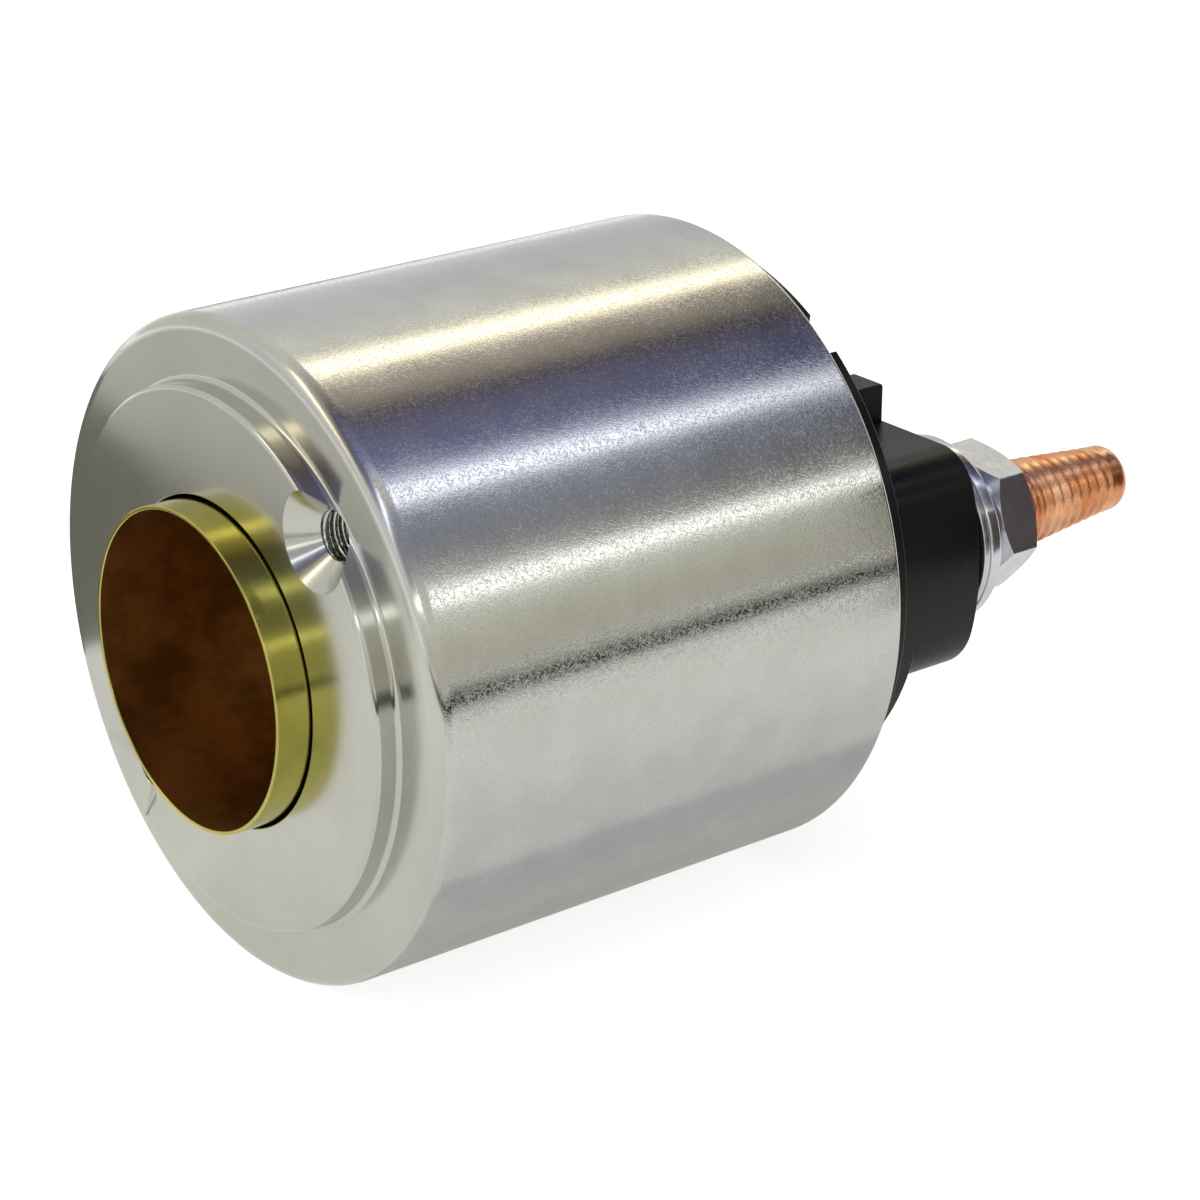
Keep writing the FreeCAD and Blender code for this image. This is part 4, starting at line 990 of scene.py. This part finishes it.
def make_nut(name, centre):
    """Cut a hexagon with chamfered corners, join it to its coned flange and bore it."""
    corner_radius = NUT_HALF_FLATS / math.cos(math.pi / 6)
    angles = [NUT_ANGLE + math.pi / 3 * count for count in range(6)]
    corners = [(*on_ring(0, corner_radius, angle, centre)[1:], HEXAGON_ROUND) for angle in angles]
    hexagon_front = WASHER_BACK + NUT_RIM + NUT_CONE
    hexagon_foot = hexagon_front - NUT_OVERLAP
    piece = prism(name, rounded(corners), hexagon_foot, NUT_END)
    barrel = [
        (hexagon_foot, 0),
        (hexagon_foot, NUT_HALF_FLATS - NUT_TRIM),
        (hexagon_front, NUT_HALF_FLATS - NUT_TRIM),
        (hexagon_front + NUT_CHAMFER, corner_radius + NUT_TRIM),
        (NUT_END - NUT_CHAMFER, corner_radius + NUT_TRIM),
        (NUT_END, NUT_HALF_FLATS - NUT_TRIM),
        (NUT_END, 0),
    ]
    combine(piece, turn("barrel", barrel, sides=96, centre=centre), "INTERSECT")
    flange = rounded([
        (WASHER_BACK, 0, 0),
        (WASHER_BACK, NUT_FLANGE, RIM_FRONT_ROUND),
        (WASHER_BACK + NUT_RIM, NUT_FLANGE, RIM_BACK_ROUND),
        (hexagon_front, NUT_HALF_FLATS, 0),
        (hexagon_front, 0, 0),
    ])
    combine(piece, turn("flange", flange, sides=128, centre=centre), "UNION")
    bore_end = NUT_END + NUT_TRIM
    bore = [(WASHER_BACK - OVERCUT, 0), (WASHER_BACK - OVERCUT, NUT_BORE), (bore_end - NUT_LEAD, NUT_BORE),
            (bore_end, NUT_BORE + NUT_LEAD), (bore_end, 0)]
    combine(piece, turn("bore", bore, sides=96, centre=centre), "DIFFERENCE")
    soften(piece, NUT_EDGE, limit=25)
    return piece


for name, side in (("battery", -STUD_SIDE), ("motor", STUD_SIDE)):
    centre = (side, STUD_LIFT)
    washer = turn(name + "_ring", rounded([
        (CAP_BACK, WASHER_BORE, 0),
        (WASHER_BACK, WASHER_BORE, 0),
        (WASHER_BACK, WASHER_RADIUS, WASHER_ROUND),
        (CAP_BACK, WASHER_RADIUS, WASHER_EDGE),
    ]), sides=128, centre=centre)
    dress(washer, name + "_washer", "base", "plated_steel", washer_plate)
    dress(make_nut(name + "_hexagon", centre), name + "_nut", "base", "bright_zinc", bright_zinc)

# The studio: a pale floor under the can, and a soft sky of long lamps and gaps that run beside its axis. The
# angle of each is taken round that axis in degrees, from +Y over the top to -Y, where the camera stands. The
# studio's sizes are in metres.
FLOOR_REACH = 3.0
FLOOR_LEVEL = can_low.z
FLOOR_COLOUR = (0.82, 0.82, 0.82)
FLOOR_GLOW = 0.72
END_GREY = (0.75, 0.75, 0.74)
END_RANGE = (0.8, 0.97)
GAP_LIMIT = (0.7, 0.7, 0.64)
LAMP_RANGE = (0.43, 0.5)
FRONT_RANGE = (0.45, 0.7)
FRONT_STRENGTH = (1.08, 0.86)
REAR_RANGE = (0.595, 0.635)
REAR_STRENGTH = 0.5
OVERHEAD_START = (math.radians(60), math.radians(66))
OVERHEAD_END = (math.radians(158), math.radians(146))
WHITE = (1.0, 1.0, 1.0, 1.0)
SKY = [
    (-180, (0.5, 0.5, 0.45)),
    (0, (0.74, 0.75, 0.77)),
    (20, (0.66, 0.67, 0.68)),
    (37, (0.72, 0.74, 0.73)),
    (45, (0.83, 0.83, 0.76)),
    (53, (0.78, 0.76, 0.68)),
    (57, (1.15, 1.1, 0.9)),
    (59.5, (3.5, 3.2, 2.35)),
    (63.5, (3.5, 3.2, 2.35)),
    (66, (0.8, 0.74, 0.6)),
    (71, (0.52, 0.47, 0.4)),
    (78, (0.41, 0.36, 0.3)),
    (83, (0.24, 0.2, 0.19)),
    (84, (0.12, 0.1, 0.11)),
    (95, (0.17, 0.17, 0.28)),
    (104, (0.19, 0.2, 0.36)),
    (108, (0.3, 0.32, 0.49)),
    (112, (0.66, 0.7, 0.94)),
    (115.5, (2.2, 2.25, 2.5)),
    (118.5, (2.2, 2.25, 2.5)),
    (121, (0.6, 0.62, 0.78)),
    (124, (0.36, 0.37, 0.47)),
    (131, (0.3, 0.31, 0.38)),
    (140, (0.31, 0.32, 0.34)),
    (147, (0.5, 0.49, 0.47)),
    (150, (0.75, 0.75, 0.71)),
    (151.7, (2.6, 2.6, 2.5)),
    (154.7, (2.6, 2.6, 2.5)),
    (156.2, (0.75, 0.76, 0.66)),
    (172, (0.59, 0.58, 0.49)),
    (180, (0.6, 0.59, 0.5)),
]


def make_sky():
    """Light the world with the bands, dimmed beside the can and plain grey ahead and behind it."""
    world = bpy.data.worlds.new("studio")
    world.use_nodes = True
    tree = world.node_tree
    tree.nodes.clear()
    parts = add(tree, "SeparateXYZ", {0: add(tree, "TexCoord").outputs["Generated"]})
    angle = reckon(tree, "ARCTAN2", parts.outputs["Z"], parts.outputs["Y"])
    ramp = add(tree, "ValToRGB", {"Fac": reckon(tree, "MULTIPLY_ADD", angle, 1 / math.tau, 0.5)})
    stops = ramp.color_ramp.elements
    while len(stops) > 1:
        stops.remove(stops[-1])
    for number, (degrees, colour) in enumerate(SKY):
        place = degrees / 360 + 0.5
        stop = stops[0] if number == 0 else stops.new(place)
        stop.position = place
        stop.color = (*colour, 1.0)
    tilt = reckon(tree, "ABSOLUTE", parts.outputs["X"])
    even = colour_between(tree, spread(tree, tilt, *END_RANGE), ramp.outputs["Color"], END_GREY)
    capped = add(tree, "VectorMath", {0: even, 1: GAP_LIMIT}, operation="MINIMUM")
    lit = colour_between(tree, spread(tree, tilt, *LAMP_RANGE), capped.outputs[0], even)
    front = spread(tree, parts.outputs["X"], *FRONT_RANGE, *FRONT_STRENGTH)
    overhead = reckon(tree, "MULTIPLY", spread(tree, angle, *OVERHEAD_START),
                      spread(tree, angle, *OVERHEAD_END))
    rear = reckon(tree, "MULTIPLY", overhead, spread(tree, parts.outputs["X"], *REAR_RANGE))
    strength = reckon(tree, "MULTIPLY", front, spread(tree, rear, 0.0, 1.0, 1.0, REAR_STRENGTH))
    light = add(tree, "Background", {"Color": lit, "Strength": strength})
    backdrop = add(tree, "Background", {"Color": WHITE, "Strength": 1.0})  # what the camera sees
    seen = add(tree, "LightPath").outputs["Is Camera Ray"]
    both = add(tree, "MixShader", {0: seen, 1: light.outputs[0], 2: backdrop.outputs[0]})
    add(tree, "OutputWorld", {"Surface": both.outputs[0]})
    scene.world = world


def lay_sheet(name, low, high, colour, glow):
    """Lay or stand a sheet between two corners. Its glow is seen by the camera and by reflections only."""
    mesh = bpy.data.meshes.new(name)
    corners = [low, (high[0], low[1], low[2]), high, (low[0], high[1], high[2])]
    mesh.from_pydata(corners, [], [(0, 1, 2, 3)])
    sheet = bpy.data.objects.new(name, mesh)
    scene.collection.objects.link(sheet)
    material = bpy.data.materials.new(name + "_paper")
    material.use_nodes = True
    tree = material.node_tree
    tree.nodes.clear()
    path = add(tree, "LightPath").outputs
    seen = reckon(tree, "MAXIMUM", reckon(tree, "MAXIMUM", path["Is Camera Ray"], path["Is Glossy Ray"]),
                  path["Is Transmission Ray"])
    paint = add(tree, "BsdfDiffuse", {"Color": (*colour, 1.0)})
    shine = add(tree, "Emission", {"Color": WHITE, "Strength": reckon(tree, "MULTIPLY", seen, glow)})
    both = add(tree, "AddShader", {0: paint.outputs[0], 1: shine.outputs[0]})
    add(tree, "OutputMaterial", {"Surface": both.outputs[0]})
    mesh.materials.append(material)
    return sheet


make_sky()
lay_sheet("floor", (-FLOOR_REACH, -FLOOR_REACH, FLOOR_LEVEL), (FLOOR_REACH, FLOOR_REACH, FLOOR_LEVEL),
          FLOOR_COLOUR, FLOOR_GLOW)

# The cards: sheets laid just over the floor or stood behind the can, which only its metal reflects. Their
# corners are in metres across the floor and millimetres above it, and a colour and a glow follow.
CARDS = [
    ("table", (-0.5, -0.218, 0.5), (0.5, 0.6, 0.5), (0.97, 0.97, 0.91), 0.32),
    ("contact_shade", (0.005, -0.031, 0.8), (0.08, 0.03, 0.8), (0.87, 0.87, 0.85), 0.19),
    # A dark sheet beyond the can, darker than the table, which darkens what the boss face reflects.
    ("dark_cloth", (-0.062, 0.068, 1.0), (0.2, 0.3, 1.0), (0.33, 0.33, 0.29), 0.0),
    ("grey_cloth", (-0.2, 0.045, 1.0), (-0.062, 0.3, 1.0), (0.85, 0.85, 0.78), 0.16),
    ("table_edge", (-1.0, -0.5, 0.5), (1.0, -0.218, 0.5), (0.05, 0.05, 0.04), 0.0),
    ("backdrop_card", (-1.0, -1.5, 0.5), (1.0, -0.5, 0.5), (0.75, 0.75, 0.65), 0.1),
    ("brown_card", (0.112, -0.1, 0.5), (0.25, -0.1, 75.0), (0.1, 0.08, 0.075), 0.02),
]
for name, low, high, colour, glow in CARDS:
    levels = [FLOOR_LEVEL + corner[2] * MM for corner in (low, high)]
    card = lay_sheet(name, (*low[:2], levels[0]), (*high[:2], levels[1]), colour, glow)
    card.visible_camera = False
    card.visible_diffuse = False
    card.visible_shadow = False

# The camera: it stands to the left in front of the boss and looks down on it, as the photograph was taken.
# Its place in metres, its directions and its lens were fitted to the rings of the can.
SENSOR_WIDTH = 36.0
LENS = 106.01
CAMERA_PLACE = Vector((-0.14039, -0.23254, 0.11618))
CAMERA_RIGHT = Vector((0.78956, -0.61367, 0.0))
CAMERA_UP = Vector((0.23275, 0.29946, 0.92529))
camera = bpy.data.objects.new("camera", bpy.data.cameras.new("camera"))
camera.data.sensor_width = SENSOR_WIDTH
camera.data.lens = LENS
axes = Matrix((CAMERA_RIGHT, CAMERA_UP, CAMERA_RIGHT.cross(CAMERA_UP))).transposed().to_4x4()
camera.matrix_world = Matrix.Translation(CAMERA_PLACE) @ axes
scene.collection.objects.link(camera)
scene.camera = camera
scene.view_settings.view_transform = "Standard"
